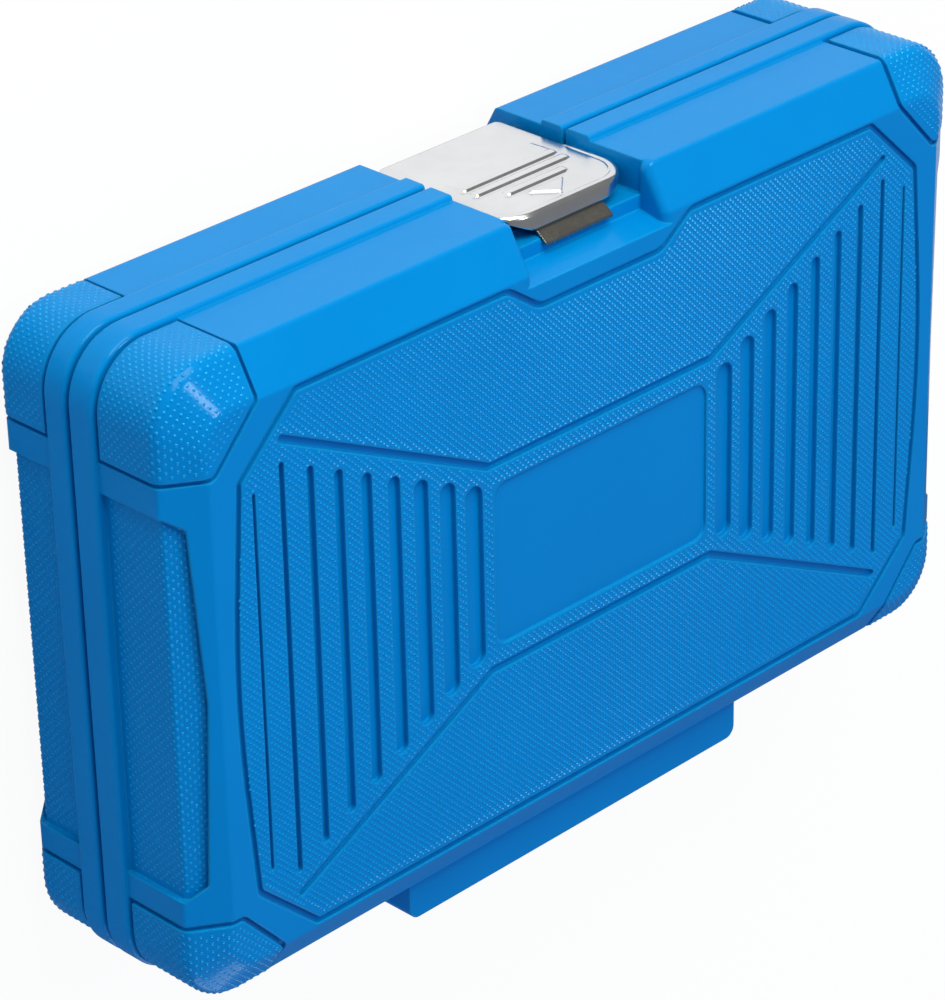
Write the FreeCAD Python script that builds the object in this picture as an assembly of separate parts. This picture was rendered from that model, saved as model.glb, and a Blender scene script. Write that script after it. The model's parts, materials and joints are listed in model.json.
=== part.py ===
import FreeCAD, Part
import math
import os
from FreeCAD import Vector

# Case outline: it lies on its back, lid up, latch to the front, hinge to the rear
WALL_X = 130.2
WALL_FRONT = -84.75
WALL_REAR = 73.75
HEIGHT = 61.5
CORNER_R = 14.0
CHAMFER_H = 6.2
END_CHAMFER = 9.4
FRONT_CHAMFER = 10.9
REAR_CHAMFER = 9.5
FACE_CORNER_R = 9.0
EDGE_R = 1.2

# Seam between lid and base, with a proud rim on both sides of it
SEAM = 28.5
SEAM_GAP = 1.2
LID_LOW = SEAM + SEAM_GAP / 2
BASE_TOP = SEAM - SEAM_GAP / 2
RIM_PROUD = 1.2
LID_RIM_TOP = 36.7
BASE_RIM_LOW = 21.1
RIM_EDGE_R = 1.0

# How far the knee and the face edge of the form move when the form grows by one
KNEE_SHIFT = 0.54
FACE_SHIFT = 0.30
FLUSH_SHIFT = 1.83

# Corner bumpers
BUMPER_OUT = 0.35
BUMPER_GROOVE = 1.2
BUMPER_CORNER_R = 3.0
BUMPER_EDGE_R = 4.0
FRONT_BUMPER_X = 105.7
FRONT_BUMPER_Y = -59.65
FRONT_BUMPER_DIAG_X = 119.0
REAR_BUMPER_X = 105.4
REAR_BUMPER_Y = 50.6
REAR_BUMPER_DIAG_X = 117.6
FACE_FRONT = WALL_FRONT + FRONT_CHAMFER
FACE_REAR = WALL_REAR - REAR_CHAMFER
FAR = 40.0

# Recessed panels in the end walls
END_PANEL_DEPTH = 1.4
END_PANEL_FRONT = -52.25
END_PANEL_REAR = 44.05
END_PANEL_R = 2.0
END_PANEL_KNEE = 6.0
END_PANEL_FRONT_DROP = 3.2
END_PANEL_MID_DROP = 1.8
END_PANEL_REAR_DROP = 3.0
END_PANEL_FRONT_Y = -49.15
END_PANEL_MID_Y = -5.9
END_PANEL_REAR_Y = 40.5

# Panel, grooves, slots and bare plate on the lid's face
PANEL_Y = -4.75
PANEL_GROOVE_W = 1.6
PANEL_GROOVE_D = 1.2
PANEL_CORNER_X = 95.7
PANEL_SIDE_X = 113.4
PANEL_BULGE_X = 117.5
PANEL_FRONT = -73.35
PANEL_REAR = 63.65
PANEL_SIDE_FRONT = -56.55
PANEL_SIDE_REAR = 47.25
NOTCH_Y = -66.25
NOTCH_IN_X = 20.0
NOTCH_OUT_X = 30.0
NOTCH_R = 6.0
PANEL_R = 3.0
BULGE_R = 300.0
BOW_GROOVE_W = 2.0
BOW_GROOVE_D = 1.2
BOW_END_X = 100.0
BOW_END_Y = 57.6
BOW_IN_X = 37.65
BOW_IN_Y = 26.6
PLATE_X = 36.15
PLATE_Y = 21.1
PLATE_R = 4.0
PLATE_D = 0.7
SLOTS = 9
SLOT_OUT_X = 108.6
SLOT_PITCH = 8.25
SLOT_OUT_W = 0.9
SLOT_W_STEP = 0.58
SLOT_D = 1.5
SLOT_IN_HALF = 21.0
SLOT_SLOPE = 0.497
SLOT_OUT_HALF = 47.7

# Lid hollow, and the tongue on the base that registers it
HOLLOW_X = 121.0
HOLLOW_FRONT = -74.0
HOLLOW_REAR = 64.0
HOLLOW_R = 12.0
HOLLOW_STRAIGHT = 33.0
HOLLOW_TOP = 55.5
HOLLOW_DRAFT = 4.0
TONGUE_GAP = 0.4
TONGUE_T = 2.2
TONGUE_TOP = 31.2
LATCH_BOX_X = 28.0
LATCH_BOX_Y = -67.5
PASS = 1.0

# Latch recess and finger pocket
RECESS_X = 22.6
RECESS_Y = -76.5
POCKET_X = 22.0
POCKET_LOW = 53.2
POCKET_IN_Y = -72.75
POCKET_FACE_Y = -70.95
POCKET_EDGE_R = 2.5

# Hinge housing, knuckles and pin
BLOCK_X = 57.9
BLOCK_REAR = 85.95
BLOCK_TOP = 52.2
BLOCK_LOW = 4.5
BLOCK_R = 3.0
HINGE_Y = 82.75
KNUCKLE_R = 3.2
KNUCKLE_GAP = 0.3
KNUCKLES = 5
KNUCKLE_SPAN = 115.2
HINGE_PIN_R = 1.25
HINGE_HOLE_R = 1.3
RELIEF = 0.2
RELIEF_H = 17.0

# Latch plate, its pin and the keeper
LATCH_OUT_Y = -83.05
LATCH_T = 0.8
LATCH_LOW = 9.3
LATCH_TOP = 52.2
LATCH_SHOULDER = 31.5
LATCH_LOW_X = 20.0
LATCH_TOP_X = 22.0
LATCH_CORNER_R = 7.0
LATCH_NECK = 2.0
LATCH_SMALL_R = 1.0
LATCH_LIP = 4.5
LATCH_LIP_X = 15.0
RIB_H = 1.0
RIB_W = 1.6
RIB_LOW_Z = 32.0
RIB_MID_Z = 36.0
RIB_TOP_Z = 40.8
RIB_WIDE = 15.5
RIB_NARROW = 10.0
RAMP_Z = 23.5
ARROW_Z = 45.1
ARROW_TIP_Z = 50.5
ARROW_X = 5.8
LATCH_PIN_Y = -80.6
LATCH_PIN_Z = 12.0
LATCH_PIN_R = 1.2
LATCH_PIN_X = 24.6
EAR_X = 17.0
EAR_T = 0.9
EAR_R = 2.4
EAR_HOLE_R = 1.3
KEEPER_X = 11.0
KEEPER_T = 0.8
KEEPER_LOW = 38.0
KEEPER_RISE_Z = 45.0
KEEPER_NOSE_Z = 49.6
KEEPER_NOSE_Y = -79.6
KEEPER_END_Z = 54.8
KEEPER_END_Y = -75.75
KEEPER_GAP_LOW = 52.3
KEEPER_GAP_Y = -75.8

# Tool tray: rows along the case and the clearance round each tool
ROW_RATCHET = 45.0
ROW_SPINNER = 19.0
ROW_BARS = -7.0
ROW_LARGE = -31.0
ROW_SMALL = -56.0
FIT = 0.3
ABOVE = 42.0
SCOOP_R = 10.5
SCOOP_Z = 17.5
SCOOP_PART = 0.6

# Square drive shared by all tools
SQUARE = 6.35
SQUARE_HOLE = 6.5
SQUARE_L = 8.0
SQUARE_DEEP = 8.5
SQUARE_EDGE = 0.5

# Ratchet
HEAD_X = -95.0
HEAD_R = 13.5
HEAD_LOW = 22.5
HEAD_TOP = 33.5
HEAD_EDGE = 0.9
HANDLE_Z = 28.0
NECK_X = 12.0
NECK_END_X = 33.0
NECK_HALF_W = 6.0
NECK_HALF_H = 4.6
NECK_ROUND = 0.7
TANG_R = 4.2
TANG_END = 30.0
GRIP_END = 42.0
GRIP_R = 8.5
GRIP_WAIST_R = 7.2
GRIP_FIT = 0.05
GRIP_TIP_R = 4.2
GRIP_EASE = 0.02
GRIP_COLLAR = 0.07
GRIP_COLLAR_END = 0.11
GRIP_WAIST = 0.24
GRIP_SWELL = 0.5
GRIP_TAIL = 0.93
COVER_R = 11.4
COVER_BORE_R = 11.7
COVER_HOLE_R = 5.5
COVER_T = 1.4
GEAR_TEETH = 36
GEAR_R = 7.0
GEAR_ROOT_R = 6.3
GEAR_BORE_R = 7.4
GEAR_LOW = 24.2
GEAR_TOP = 29.8
CHAMBER_TOP = 30.1
DRIVE_NECK_R = 5.2
DRIVE_NECK_LOW = 22.3
PAWL_IN = 6.5
PAWL_OUT = 10.8
PAWL_HALF = 4.2
PAWL_PLAY = 0.12
LEVER_X = 9.2
LEVER_R = 3.8
LEVER_SHAFT_R = 1.9
LEVER_LOW = 33.8
LEVER_T = 1.6
LEVER_TAB_T = 2.0
LEVER_ROUND = 0.9
LEVER_L = 10.0
LEVER_HALF = 2.2
LEVER_REST = -18.0
BUTTON_R = 2.4
BUTTON_BORE_R = 2.6
BUTTON_TOP = 35.2
BUTTON_LOW = 29.0
BUTTON_BORE_LOW = 27.0
BALL_R = 1.3
BALL_IN = 0.85
BALL_Z = 17.8
BALL_PLAY = 0.1

# Spinner handle
SPIN_X = -42.0
SPIN_GRIP_L = 95.0
SPIN_Z = 24.0
SPIN_R = 13.0
SPIN_NECK_R = 8.0
SPIN_BUTT_R = 10.0
SPIN_BUTT_L = 4.0
SPIN_TAPER = 24.0
SPIN_COLLAR = 14.0
SPIN_WAIST = 8.0
FLUTES = 6
FLUTE_R = 5.0
FLUTE_AT = 16.4
SHANK_R = 3.6
SHANK_IN = 30.0
SHANK_END = 100.0

# Extension bars
BAR_Z = 24.0
BAR_R = 4.2
BAR_TROUGH_R = 4.8
BAR_END_R = 6.0
BAR_END_L = 15.0
BAR_CONE = 2.0
BAR_X = -110.0
SHORT_L = 52.0
LONG_L = 102.0

# Sliding handle
ROD_X = 0.0
ROD_L = 110.0
ROD_Z = 24.5
ROD_R = 3.1
ROD_BALL_R = 4.2
SLIDER_X = 55.0
SLIDER_R = 6.5
SLIDER_LOW = 18.0
SLIDER_TOP = 31.0
SLIDER_HOLE_R = 3.4
SLIDER_EDGE = 0.8
SLOT_MARGIN = 12.0
SLIDER_POCKET_Z = 9.5

# Universal joint
JOINT_X = 75.0
JOINT_Z = 24.0
JOINT_R = 6.3
JOINT_START = 56.0
YOKE_BODY_END = 67.5
DRIVE_BODY_X = 82.0
DRIVE_BODY_END = 87.0
EAR_IN = 3.7
EAR_OUT = 6.2
EAR_HALF = 2.8
CROSS_HALF = 3.0
CROSS_PIN_R = 1.3
CROSS_HOLE_R = 1.4
JOINT_POCKET_X = 66.5
JOINT_POCKET_END = 100.0
JOINT_POCKET_HALF = 17.0
JOINT_POCKET_Z = 5.0

# Sockets: hexagon sizes along two rows, hexagon end up
LARGE_FIRST = 14.0
LARGE_COUNT = 7
LARGE_STEP = 1.0
LARGE_X = -99.0
SMALL_SIZES = (7.0, 6.0, 5.5, 5.0, 4.5, 4.0)
SMALL_X = -82.5
SOCKET_PITCH = 33.0
SOCKET_LOW = 14.0
SOCKET_L = 25.0
SOCKET_DRIVE_R = 5.95
SOCKET_DRIVE_L = 10.0
SOCKET_CONE = 2.0
SOCKET_WALL_SCALE = 1.22
SOCKET_WALL_ADD = 2.1
SOCKET_EDGE = 0.5
HEX_SIDES = 6
HEX_PLAY = 0.1
HEX_DEEP = 11.0
SOCKET_STEP_Z = 23.0
SOCKET_BORE_PART = 0.35

# Lengths closer than these count as equal, or as touching
SAME = 1e-6
TOUCH = 0.01


def flat(z):
    """Place plan points at a height."""
    return lambda x, y: Vector(x, y, z)


def upright(x):
    """Place side-view points at a distance along the case."""
    return lambda y, z: Vector(x, y, z)


def facing(y):
    """Place front-view points at a depth."""
    return lambda x, z: Vector(x, y, z)


def path(points, radii, place):
    """Closed wire through points, each corner rounded by its radius."""
    flat_points = [Vector(u, v, 0) for u, v in points]
    count = len(flat_points)
    starts, middles, ends = [], [], []
    for i, corner in enumerate(flat_points):
        before = (flat_points[i - 1] - corner).normalize()
        after = (flat_points[(i + 1) % count] - corner).normalize()
        half = before.getAngle(after) / 2
        radius = radii[i]
        trim = radius / math.tan(half)
        bisector = (before + after).normalize()
        starts.append(corner + before * trim)
        ends.append(corner + after * trim)
        middles.append(corner + bisector * (radius / math.sin(half) - radius))
    edges = []
    lift = lambda v: place(v.x, v.y)
    for i in range(count):
        if radii[i] > 0:
            edges.append(Part.Arc(lift(starts[i]), lift(middles[i]), lift(ends[i])).toShape())
        following = starts[(i + 1) % count]
        if (following - ends[i]).Length > SAME:
            edges.append(Part.LineSegment(lift(ends[i]), lift(following)).toShape())
    return Part.Wire(Part.__sortEdges__(edges))


def prism(points, radii, place, along):
    """Solid from a rounded outline pushed along a vector."""
    if not isinstance(radii, (list, tuple)):
        radii = [radii] * len(points)
    return Part.Face(path(points, radii, place)).extrude(along)


def block(x0, x1, y0, y1, z0, z1):
    """Box between two corners."""
    return Part.makeBox(x1 - x0, y1 - y0, z1 - z0, Vector(x0, y0, z0))


def rod_x(x0, x1, y, z, radius):
    """Cylinder along the case."""
    return Part.makeCylinder(radius, x1 - x0, Vector(x0, y, z), Vector(1, 0, 0))


def rod_z(x, y, z0, z1, radius):
    """Upright cylinder."""
    return Part.makeCylinder(radius, z1 - z0, Vector(x, y, z0))


def lathe_x(profile, y, z):
    """Solid of revolution about a line along the case, profile as (x, radius)."""
    points = [Vector(x, y, z + r) for x, r in profile]
    points = [Vector(profile[0][0], y, z)] + points + [Vector(profile[-1][0], y, z)]
    face = Part.Face(Part.makePolygon(points + [points[0]]))
    return face.revolve(Vector(0, y, z), Vector(1, 0, 0), 360)


def lathe_z(profile, x, y):
    """Solid of revolution about an upright line, profile as (radius, z)."""
    points = [Vector(x + r, y, z) for r, z in profile]
    points = [Vector(x, y, profile[0][1])] + points + [Vector(x, y, profile[-1][1])]
    face = Part.Face(Part.makePolygon(points + [points[0]]))
    return face.revolve(Vector(x, y, 0), Vector(0, 0, 1), 360)


def outline(z, half, front, rear, radius):
    """Rounded rectangle in plan."""
    points = [(-half, front), (half, front), (half, rear), (-half, rear)]
    return path(points, [radius] * len(points), flat(z))


def half_form(grow, seam, face, side, edge_r, flush=False):
    """Chamfered body of one half, grown on all sides; flush keeps its face in place."""
    knee = face - side * (CHAMFER_H - KNEE_SHIFT * grow)
    shift = grow * (FLUSH_SHIFT if flush else FACE_SHIFT)
    top = face if flush else face + side * grow
    wall = (WALL_X + grow, WALL_FRONT - grow, WALL_REAR + grow, CORNER_R + grow)
    edge = (WALL_X - END_CHAMFER + shift, FACE_FRONT - shift, FACE_REAR + shift, FACE_CORNER_R)
    wires = [outline(seam, *wall), outline(knee, *wall), outline(top, *edge)]
    form = Part.makeLoft(wires[::side], True, True)
    level = lambda e, z: all(abs(v.Z - z) < SAME for v in e.Vertexes)
    rounded = [e for e in form.Edges if level(e, knee) or level(e, top)]
    return form.makeFillet(edge_r, rounded)


def bumper_plan(mirror, rear):
    """Outline of one corner bumper in plan."""
    x, diag_x, y = FRONT_BUMPER_X, FRONT_BUMPER_DIAG_X, FRONT_BUMPER_Y
    edge, out = FACE_FRONT, WALL_FRONT - FAR
    if rear:
        x, diag_x, y = REAR_BUMPER_X, REAR_BUMPER_DIAG_X, REAR_BUMPER_Y
        edge, out = FACE_REAR, WALL_REAR + FAR
    far = WALL_X + FAR
    return [(mirror * u, v) for u, v in ((x, out), (x, edge), (diag_x, y), (far, y), (far, out))]


def add_bumpers(body, seam, face, side, rim):
    """Cut a groove round each corner bumper and set the bumper proud of the walls."""
    core = half_form(-BUMPER_GROOVE, seam, face, side, EDGE_R)
    proud = half_form(BUMPER_OUT, seam, face, side, BUMPER_EDGE_R, flush=True)
    reach = side * FAR
    corners = [(m, r) for m in (-1, 1) for r in (False, True)]
    for mirror, rear in corners:
        wire = path(bumper_plan(mirror, rear), [0, BUMPER_CORNER_R, BUMPER_CORNER_R, 0, 0], flat(rim))
        outer = Part.Face(wire).extrude(Vector(0, 0, reach))
        inner = Part.Face(wire).makeOffset2D(-BUMPER_GROOVE)
        inner.translate(Vector(0, 0, side * BUMPER_GROOVE))
        inner = inner.extrude(Vector(0, 0, reach))
        body = body.cut(outer.cut(core)).fuse(proud.common(inner))
    return body


def add_end_panels(body, seam, face, side, rim):
    """Sink a shallow panel into both end walls."""
    floor = half_form(-END_PANEL_DEPTH, seam, face, side, EDGE_R)
    drop = lambda d: face - side * d
    points = [(END_PANEL_FRONT, rim), (END_PANEL_FRONT, drop(END_PANEL_KNEE)),
              (END_PANEL_FRONT_Y, drop(END_PANEL_FRONT_DROP)), (END_PANEL_MID_Y, drop(END_PANEL_MID_DROP)),
              (END_PANEL_REAR_Y, drop(END_PANEL_REAR_DROP)), (END_PANEL_REAR, drop(END_PANEL_KNEE)),
              (END_PANEL_REAR, rim)]
    reach = Vector(FAR, 0, 0)
    for x in (WALL_X - FAR / 2, -WALL_X - FAR / 2):
        body = body.cut(prism(points, [0] * 7, upright(x), reach).cut(floor))
    return body


def rim_slab(low, high):
    """Proud rim round one half, with rounded edges."""
    wire = outline(low, WALL_X + RIM_PROUD, WALL_FRONT - RIM_PROUD, WALL_REAR + RIM_PROUD,
                   CORNER_R + RIM_PROUD)
    slab = Part.Face(wire).extrude(Vector(0, 0, high - low))
    level = [e for e in slab.Edges if abs(e.Vertexes[0].Z - e.Vertexes[-1].Z) < SAME]
    return slab.makeFillet(RIM_EDGE_R, level)


def hinge_block(low, high):
    """Housing of the hinge on one half, relieved so that both can fold past each other."""
    inside = WALL_REAR - BLOCK_R
    points = [(-BLOCK_X, inside), (BLOCK_X, inside), (BLOCK_X, BLOCK_REAR), (-BLOCK_X, BLOCK_REAR)]
    housing = prism(points, [0, 0, BLOCK_R, BLOCK_R], flat(low), Vector(0, 0, high - low))
    for side in (-1, 1):
        wedge = [(HINGE_Y, SEAM), (HINGE_Y + RELIEF * RELIEF_H, SEAM + side * RELIEF_H),
                 (BLOCK_REAR + FAR, SEAM)]
        housing = housing.cut(prism(wedge, [0] * 3, upright(-FAR * 2), Vector(FAR * 4, 0, 0)))
    return housing


def knuckle(i, radius, gap):
    """One knuckle of the hinge, counted along the case."""
    pitch = KNUCKLE_SPAN / KNUCKLES
    start = -KNUCKLE_SPAN / 2 + i * pitch
    return rod_x(start + gap, start + pitch - gap, HINGE_Y, SEAM, radius)


def add_hinge(body, low, high, own, other):
    """Housing with its own knuckles, room for the other half's, and the pin hole."""
    body = body.fuse(hinge_block(low, high))
    body = body.cut([knuckle(i, KNUCKLE_R + KNUCKLE_GAP, -KNUCKLE_GAP / 2) for i in other])
    body = body.fuse([knuckle(i, KNUCKLE_R, KNUCKLE_GAP / 2) for i in own])
    return body.cut(rod_x(-BLOCK_X - PASS, BLOCK_X + PASS, HINGE_Y, SEAM, HINGE_HOLE_R))


def stadium(a, b, width, z, depth):
    """Slot with round ends between two plan points, cut down from a height."""
    along = Vector(b[0] - a[0], b[1] - a[1], 0).normalize()
    across = Vector(-along.y, along.x, 0) * (width / 2)
    start, end = Vector(a[0], a[1], z), Vector(b[0], b[1], z)
    cap = along * (width / 2)
    edges = [Part.LineSegment(start + across, end + across).toShape(),
             Part.Arc(end + across, end + cap, end - across).toShape(),
             Part.LineSegment(end - across, start - across).toShape(),
             Part.Arc(start - across, start - cap, start + across).toShape()]
    return Part.Face(Part.Wire(edges)).extrude(Vector(0, 0, -depth))


def panel_points():
    """Outline of the front panel, with the notch round the finger pocket."""
    right = [(NOTCH_IN_X, NOTCH_Y), (NOTCH_OUT_X, PANEL_FRONT), (PANEL_CORNER_X, PANEL_FRONT),
             (PANEL_SIDE_X, PANEL_SIDE_FRONT), (PANEL_BULGE_X, PANEL_Y), (PANEL_SIDE_X, PANEL_SIDE_REAR),
             (PANEL_CORNER_X, PANEL_REAR)]
    radii = [NOTCH_R, NOTCH_R, PANEL_R, PANEL_R, BULGE_R, PANEL_R, PANEL_R]
    return right + [(-x, y) for x, y in right[::-1]], radii + radii[::-1]


def face_cuts():
    """Panel groove, bow grooves, slots and bare plate of the lid's face."""
    top = HEIGHT + PASS
    points, radii = panel_points()
    panel = Part.Face(path(points, radii, flat(HEIGHT - PANEL_GROOVE_D)))
    ring = panel.cut(panel.makeOffset2D(-PANEL_GROOVE_W))
    cuts = [ring.extrude(Vector(0, 0, PANEL_GROOVE_D + PASS))]
    for side in (-1, 1):
        bow = [(-BOW_END_X, BOW_END_Y), (-BOW_IN_X, BOW_IN_Y), (BOW_IN_X, BOW_IN_Y), (BOW_END_X, BOW_END_Y)]
        bow = [(x, PANEL_Y + side * y) for x, y in bow]
        cuts += [stadium(a, b, BOW_GROOVE_W, top, BOW_GROOVE_D + PASS) for a, b in zip(bow, bow[1:])]
        for i in range(SLOTS):
            x = SLOT_OUT_X - SLOT_PITCH * i
            width = SLOT_OUT_W + SLOT_W_STEP * i
            half = SLOT_IN_HALF + SLOT_SLOPE * (x - BOW_IN_X) if i else SLOT_OUT_HALF
            reach = half - width / 2
            near, far = (side * x, PANEL_Y - reach), (side * x, PANEL_Y + reach)
            cuts.append(stadium(near, far, width, top, SLOT_D + PASS))
    plate = [(-PLATE_X, PANEL_Y - PLATE_Y), (PLATE_X, PANEL_Y - PLATE_Y),
             (PLATE_X, PANEL_Y + PLATE_Y), (-PLATE_X, PANEL_Y + PLATE_Y)]
    cuts.append(prism(plate, PLATE_R, flat(HEIGHT - PLATE_D), Vector(0, 0, PLATE_D + PASS)))
    return cuts


def finger_pocket(body):
    """Pocket in front of the latch lip, its side edges rounded."""
    profile = [(WALL_FRONT - FAR, POCKET_LOW), (POCKET_IN_Y, POCKET_LOW), (POCKET_FACE_Y, HEIGHT),
               (POCKET_FACE_Y, HEIGHT + FAR), (WALL_FRONT - FAR, HEIGHT + FAR)]
    body = body.cut(prism(profile, [0] * 5, upright(-POCKET_X), Vector(2 * POCKET_X, 0, 0)))
    on_side = lambda v: abs(abs(v.X) - POCKET_X) < SAME
    outside = lambda p: not profile_inside(p)
    edges = [e for e in body.Edges if all(on_side(v) for v in e.Vertexes) and outside(e.CenterOfMass)]
    return body.makeFillet(POCKET_EDGE_R, edges)


def profile_inside(point):
    """True for an edge on the pocket's own floor or end, which stays sharp."""
    slope = (POCKET_FACE_Y - POCKET_IN_Y) / (HEIGHT - POCKET_LOW)
    floor_y = POCKET_IN_Y + slope * (point.z - POCKET_LOW)
    return point.z < POCKET_LOW + TOUCH or point.y > floor_y - TOUCH


def lid_hollow():
    """Space inside the lid, kept clear of the latch pocket."""
    wires = [outline(LID_LOW - PASS, HOLLOW_X, HOLLOW_FRONT, HOLLOW_REAR, HOLLOW_R),
             outline(HOLLOW_STRAIGHT, HOLLOW_X, HOLLOW_FRONT, HOLLOW_REAR, HOLLOW_R),
             outline(HOLLOW_TOP, HOLLOW_X - HOLLOW_DRAFT, HOLLOW_FRONT + HOLLOW_DRAFT,
                     HOLLOW_REAR - HOLLOW_DRAFT, HOLLOW_R)]
    box = block(-LATCH_BOX_X, LATCH_BOX_X, WALL_FRONT, LATCH_BOX_Y, 0, HEIGHT)
    return Part.makeLoft(wires, True, True).cut(box)


def lid_shell():
    """Upper half of the case."""
    body = half_form(0, LID_LOW, HEIGHT, 1, EDGE_R)
    body = finger_pocket(body)
    body = add_bumpers(body, LID_LOW, HEIGHT, 1, LID_RIM_TOP)
    body = add_end_panels(body, LID_LOW, HEIGHT, 1, LID_RIM_TOP)
    body = body.fuse(rim_slab(LID_LOW, LID_RIM_TOP))
    recess = block(-RECESS_X, RECESS_X, WALL_FRONT - FAR, RECESS_Y, 0, POCKET_LOW)
    gap = block(-KEEPER_X - FIT, KEEPER_X + FIT, RECESS_Y - PASS, KEEPER_GAP_Y,
                KEEPER_GAP_LOW, POCKET_LOW + PASS)
    body = body.cut([recess, gap, lid_hollow()] + face_cuts())
    return add_hinge(body, LID_LOW, BLOCK_TOP, (1, 3), (0, 2, 4))


def tongue():
    """Raised ring on the base that enters the lid."""
    rings = []
    for inset in (TONGUE_GAP, TONGUE_GAP + TONGUE_T):
        wire = outline(BASE_TOP - PASS, HOLLOW_X - inset, HOLLOW_FRONT + inset, HOLLOW_REAR - inset,
                       HOLLOW_R - inset)
        rings.append(Part.Face(wire).extrude(Vector(0, 0, TONGUE_TOP - BASE_TOP + PASS)))
    box = block(-LATCH_BOX_X - PASS, LATCH_BOX_X + PASS, WALL_FRONT, LATCH_BOX_Y + PASS * 3, 0, HEIGHT)
    return rings[0].cut([rings[1], box])


def trough(x0, x1, y, z, radius):
    """Round-bottomed channel for a lying tool, open upwards."""
    return rod_x(x0, x1, y, z, radius).fuse(block(x0, x1, y - radius, y + radius, z, ABOVE))


def socket_list():
    """Size and place of each socket."""
    found = []
    for i in range(LARGE_COUNT):
        found.append((LARGE_FIRST - LARGE_STEP * i, LARGE_X + SOCKET_PITCH * i, ROW_LARGE))
    for i, size in enumerate(SMALL_SIZES):
        found.append((size, SMALL_X + SOCKET_PITCH * i, ROW_SMALL))
    return found


def socket_radius(size):
    """Radius of the hexagon end."""
    return (SOCKET_WALL_SCALE * size + SOCKET_WALL_ADD) / 2


def tray_cuts():
    """Recesses for all tools."""
    cuts = [rod_z(HEAD_X, ROW_RATCHET, HEAD_LOW, ABOVE, HEAD_R + FIT),
            rod_z(HEAD_X, ROW_RATCHET, HEAD_LOW - SQUARE_L - PASS, ABOVE, DRIVE_NECK_R + FIT),
            trough(HEAD_X, HEAD_X + NECK_END_X + FIT, ROW_RATCHET, HANDLE_Z, NECK_HALF_W + PASS),
            trough(HEAD_X + NECK_END_X - FIT, GRIP_END + FIT, ROW_RATCHET, HANDLE_Z, GRIP_R + FIT),
            trough(JOINT_START - FIT, JOINT_X, ROW_RATCHET, JOINT_Z, JOINT_R + FIT),
            block(JOINT_POCKET_X, JOINT_POCKET_END, ROW_RATCHET - JOINT_POCKET_HALF,
                  ROW_RATCHET + JOINT_POCKET_HALF, JOINT_POCKET_Z, ABOVE),
            trough(SPIN_X - FIT, SPIN_X + SPIN_GRIP_L + FIT, ROW_SPINNER, SPIN_Z, SPIN_R + FIT),
            trough(SPIN_X + SPIN_GRIP_L - PASS, SHANK_END + SQUARE_L + FIT, ROW_SPINNER, SPIN_Z,
                   BAR_TROUGH_R),
            trough(ROD_X - FIT, ROD_X + ROD_L + FIT, ROW_BARS, ROD_Z, ROD_BALL_R + FIT),
            block(ROD_X + SLOT_MARGIN, ROD_X + ROD_L - SLOT_MARGIN, ROW_BARS - SLIDER_R - FIT,
                  ROW_BARS + SLIDER_R + FIT, SLIDER_POCKET_Z, ABOVE)]
    for length, row in ((SHORT_L, ROW_SPINNER), (LONG_L, ROW_BARS)):
        cuts.append(trough(BAR_X - FIT, BAR_X + BAR_END_L + BAR_CONE, row, BAR_Z, BAR_END_R + FIT))
        cuts.append(trough(BAR_X, BAR_X + length + FIT, row, BAR_Z, BAR_TROUGH_R))
        cuts.append(rod_z(BAR_X + length * SCOOP_PART, row, SCOOP_Z, ABOVE, SCOOP_R))
    cuts.append(rod_z(SPIN_X + SPIN_GRIP_L + SCOOP_R * 2, ROW_SPINNER, SCOOP_Z, ABOVE, SCOOP_R))
    cuts.append(rod_z(0, ROW_RATCHET, SCOOP_Z, ABOVE, SCOOP_R))
    for size, x, y in socket_list():
        wide = max(socket_radius(size), SOCKET_DRIVE_R) + FIT
        cuts.append(rod_z(x, y, SOCKET_LOW, ABOVE, SOCKET_DRIVE_R + FIT))
        cuts.append(rod_z(x, y, SOCKET_STEP_Z, ABOVE, wide))
    return cuts


def base_shell():
    """Lower half of the case, with the tool tray."""
    body = half_form(0, BASE_TOP, 0, -1, EDGE_R)
    body = add_bumpers(body, BASE_TOP, 0, -1, BASE_RIM_LOW)
    body = add_end_panels(body, BASE_TOP, 0, -1, BASE_RIM_LOW)
    body = body.fuse(rim_slab(BASE_RIM_LOW, BASE_TOP))
    recess = block(-RECESS_X, RECESS_X, WALL_FRONT - FAR, RECESS_Y, -FAR, SEAM)
    pin = rod_x(-LATCH_PIN_X, LATCH_PIN_X, LATCH_PIN_Y, LATCH_PIN_Z, LATCH_PIN_R)
    body = body.cut([recess, pin])
    body = add_hinge(body, BLOCK_LOW, BASE_TOP, (0, 2, 4), (1, 3))
    body = body.fuse(tongue())
    return body.cut(tray_cuts())


def hinge_pin():
    """Steel rod through all knuckles."""
    return rod_x(-BLOCK_X, BLOCK_X, HINGE_Y, SEAM, HINGE_PIN_R)


def latch_pin():
    """Rod that the latch plate turns on."""
    return rod_x(-LATCH_PIN_X, LATCH_PIN_X, LATCH_PIN_Y, LATCH_PIN_Z, LATCH_PIN_R)


def latch_rib(z, half):
    """Raised bar across the latch plate, half round."""
    inside = LATCH_OUT_Y + LATCH_T / 2
    outside = LATCH_OUT_Y - RIB_H
    points = [(inside, z - RIB_W), (outside, z - RIB_W / 2), (outside, z + RIB_W / 2), (inside, z + RIB_W)]
    return prism(points, [0, RIB_W / 3, RIB_W / 3, 0], upright(-half), Vector(2 * half, 0, 0))


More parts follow.
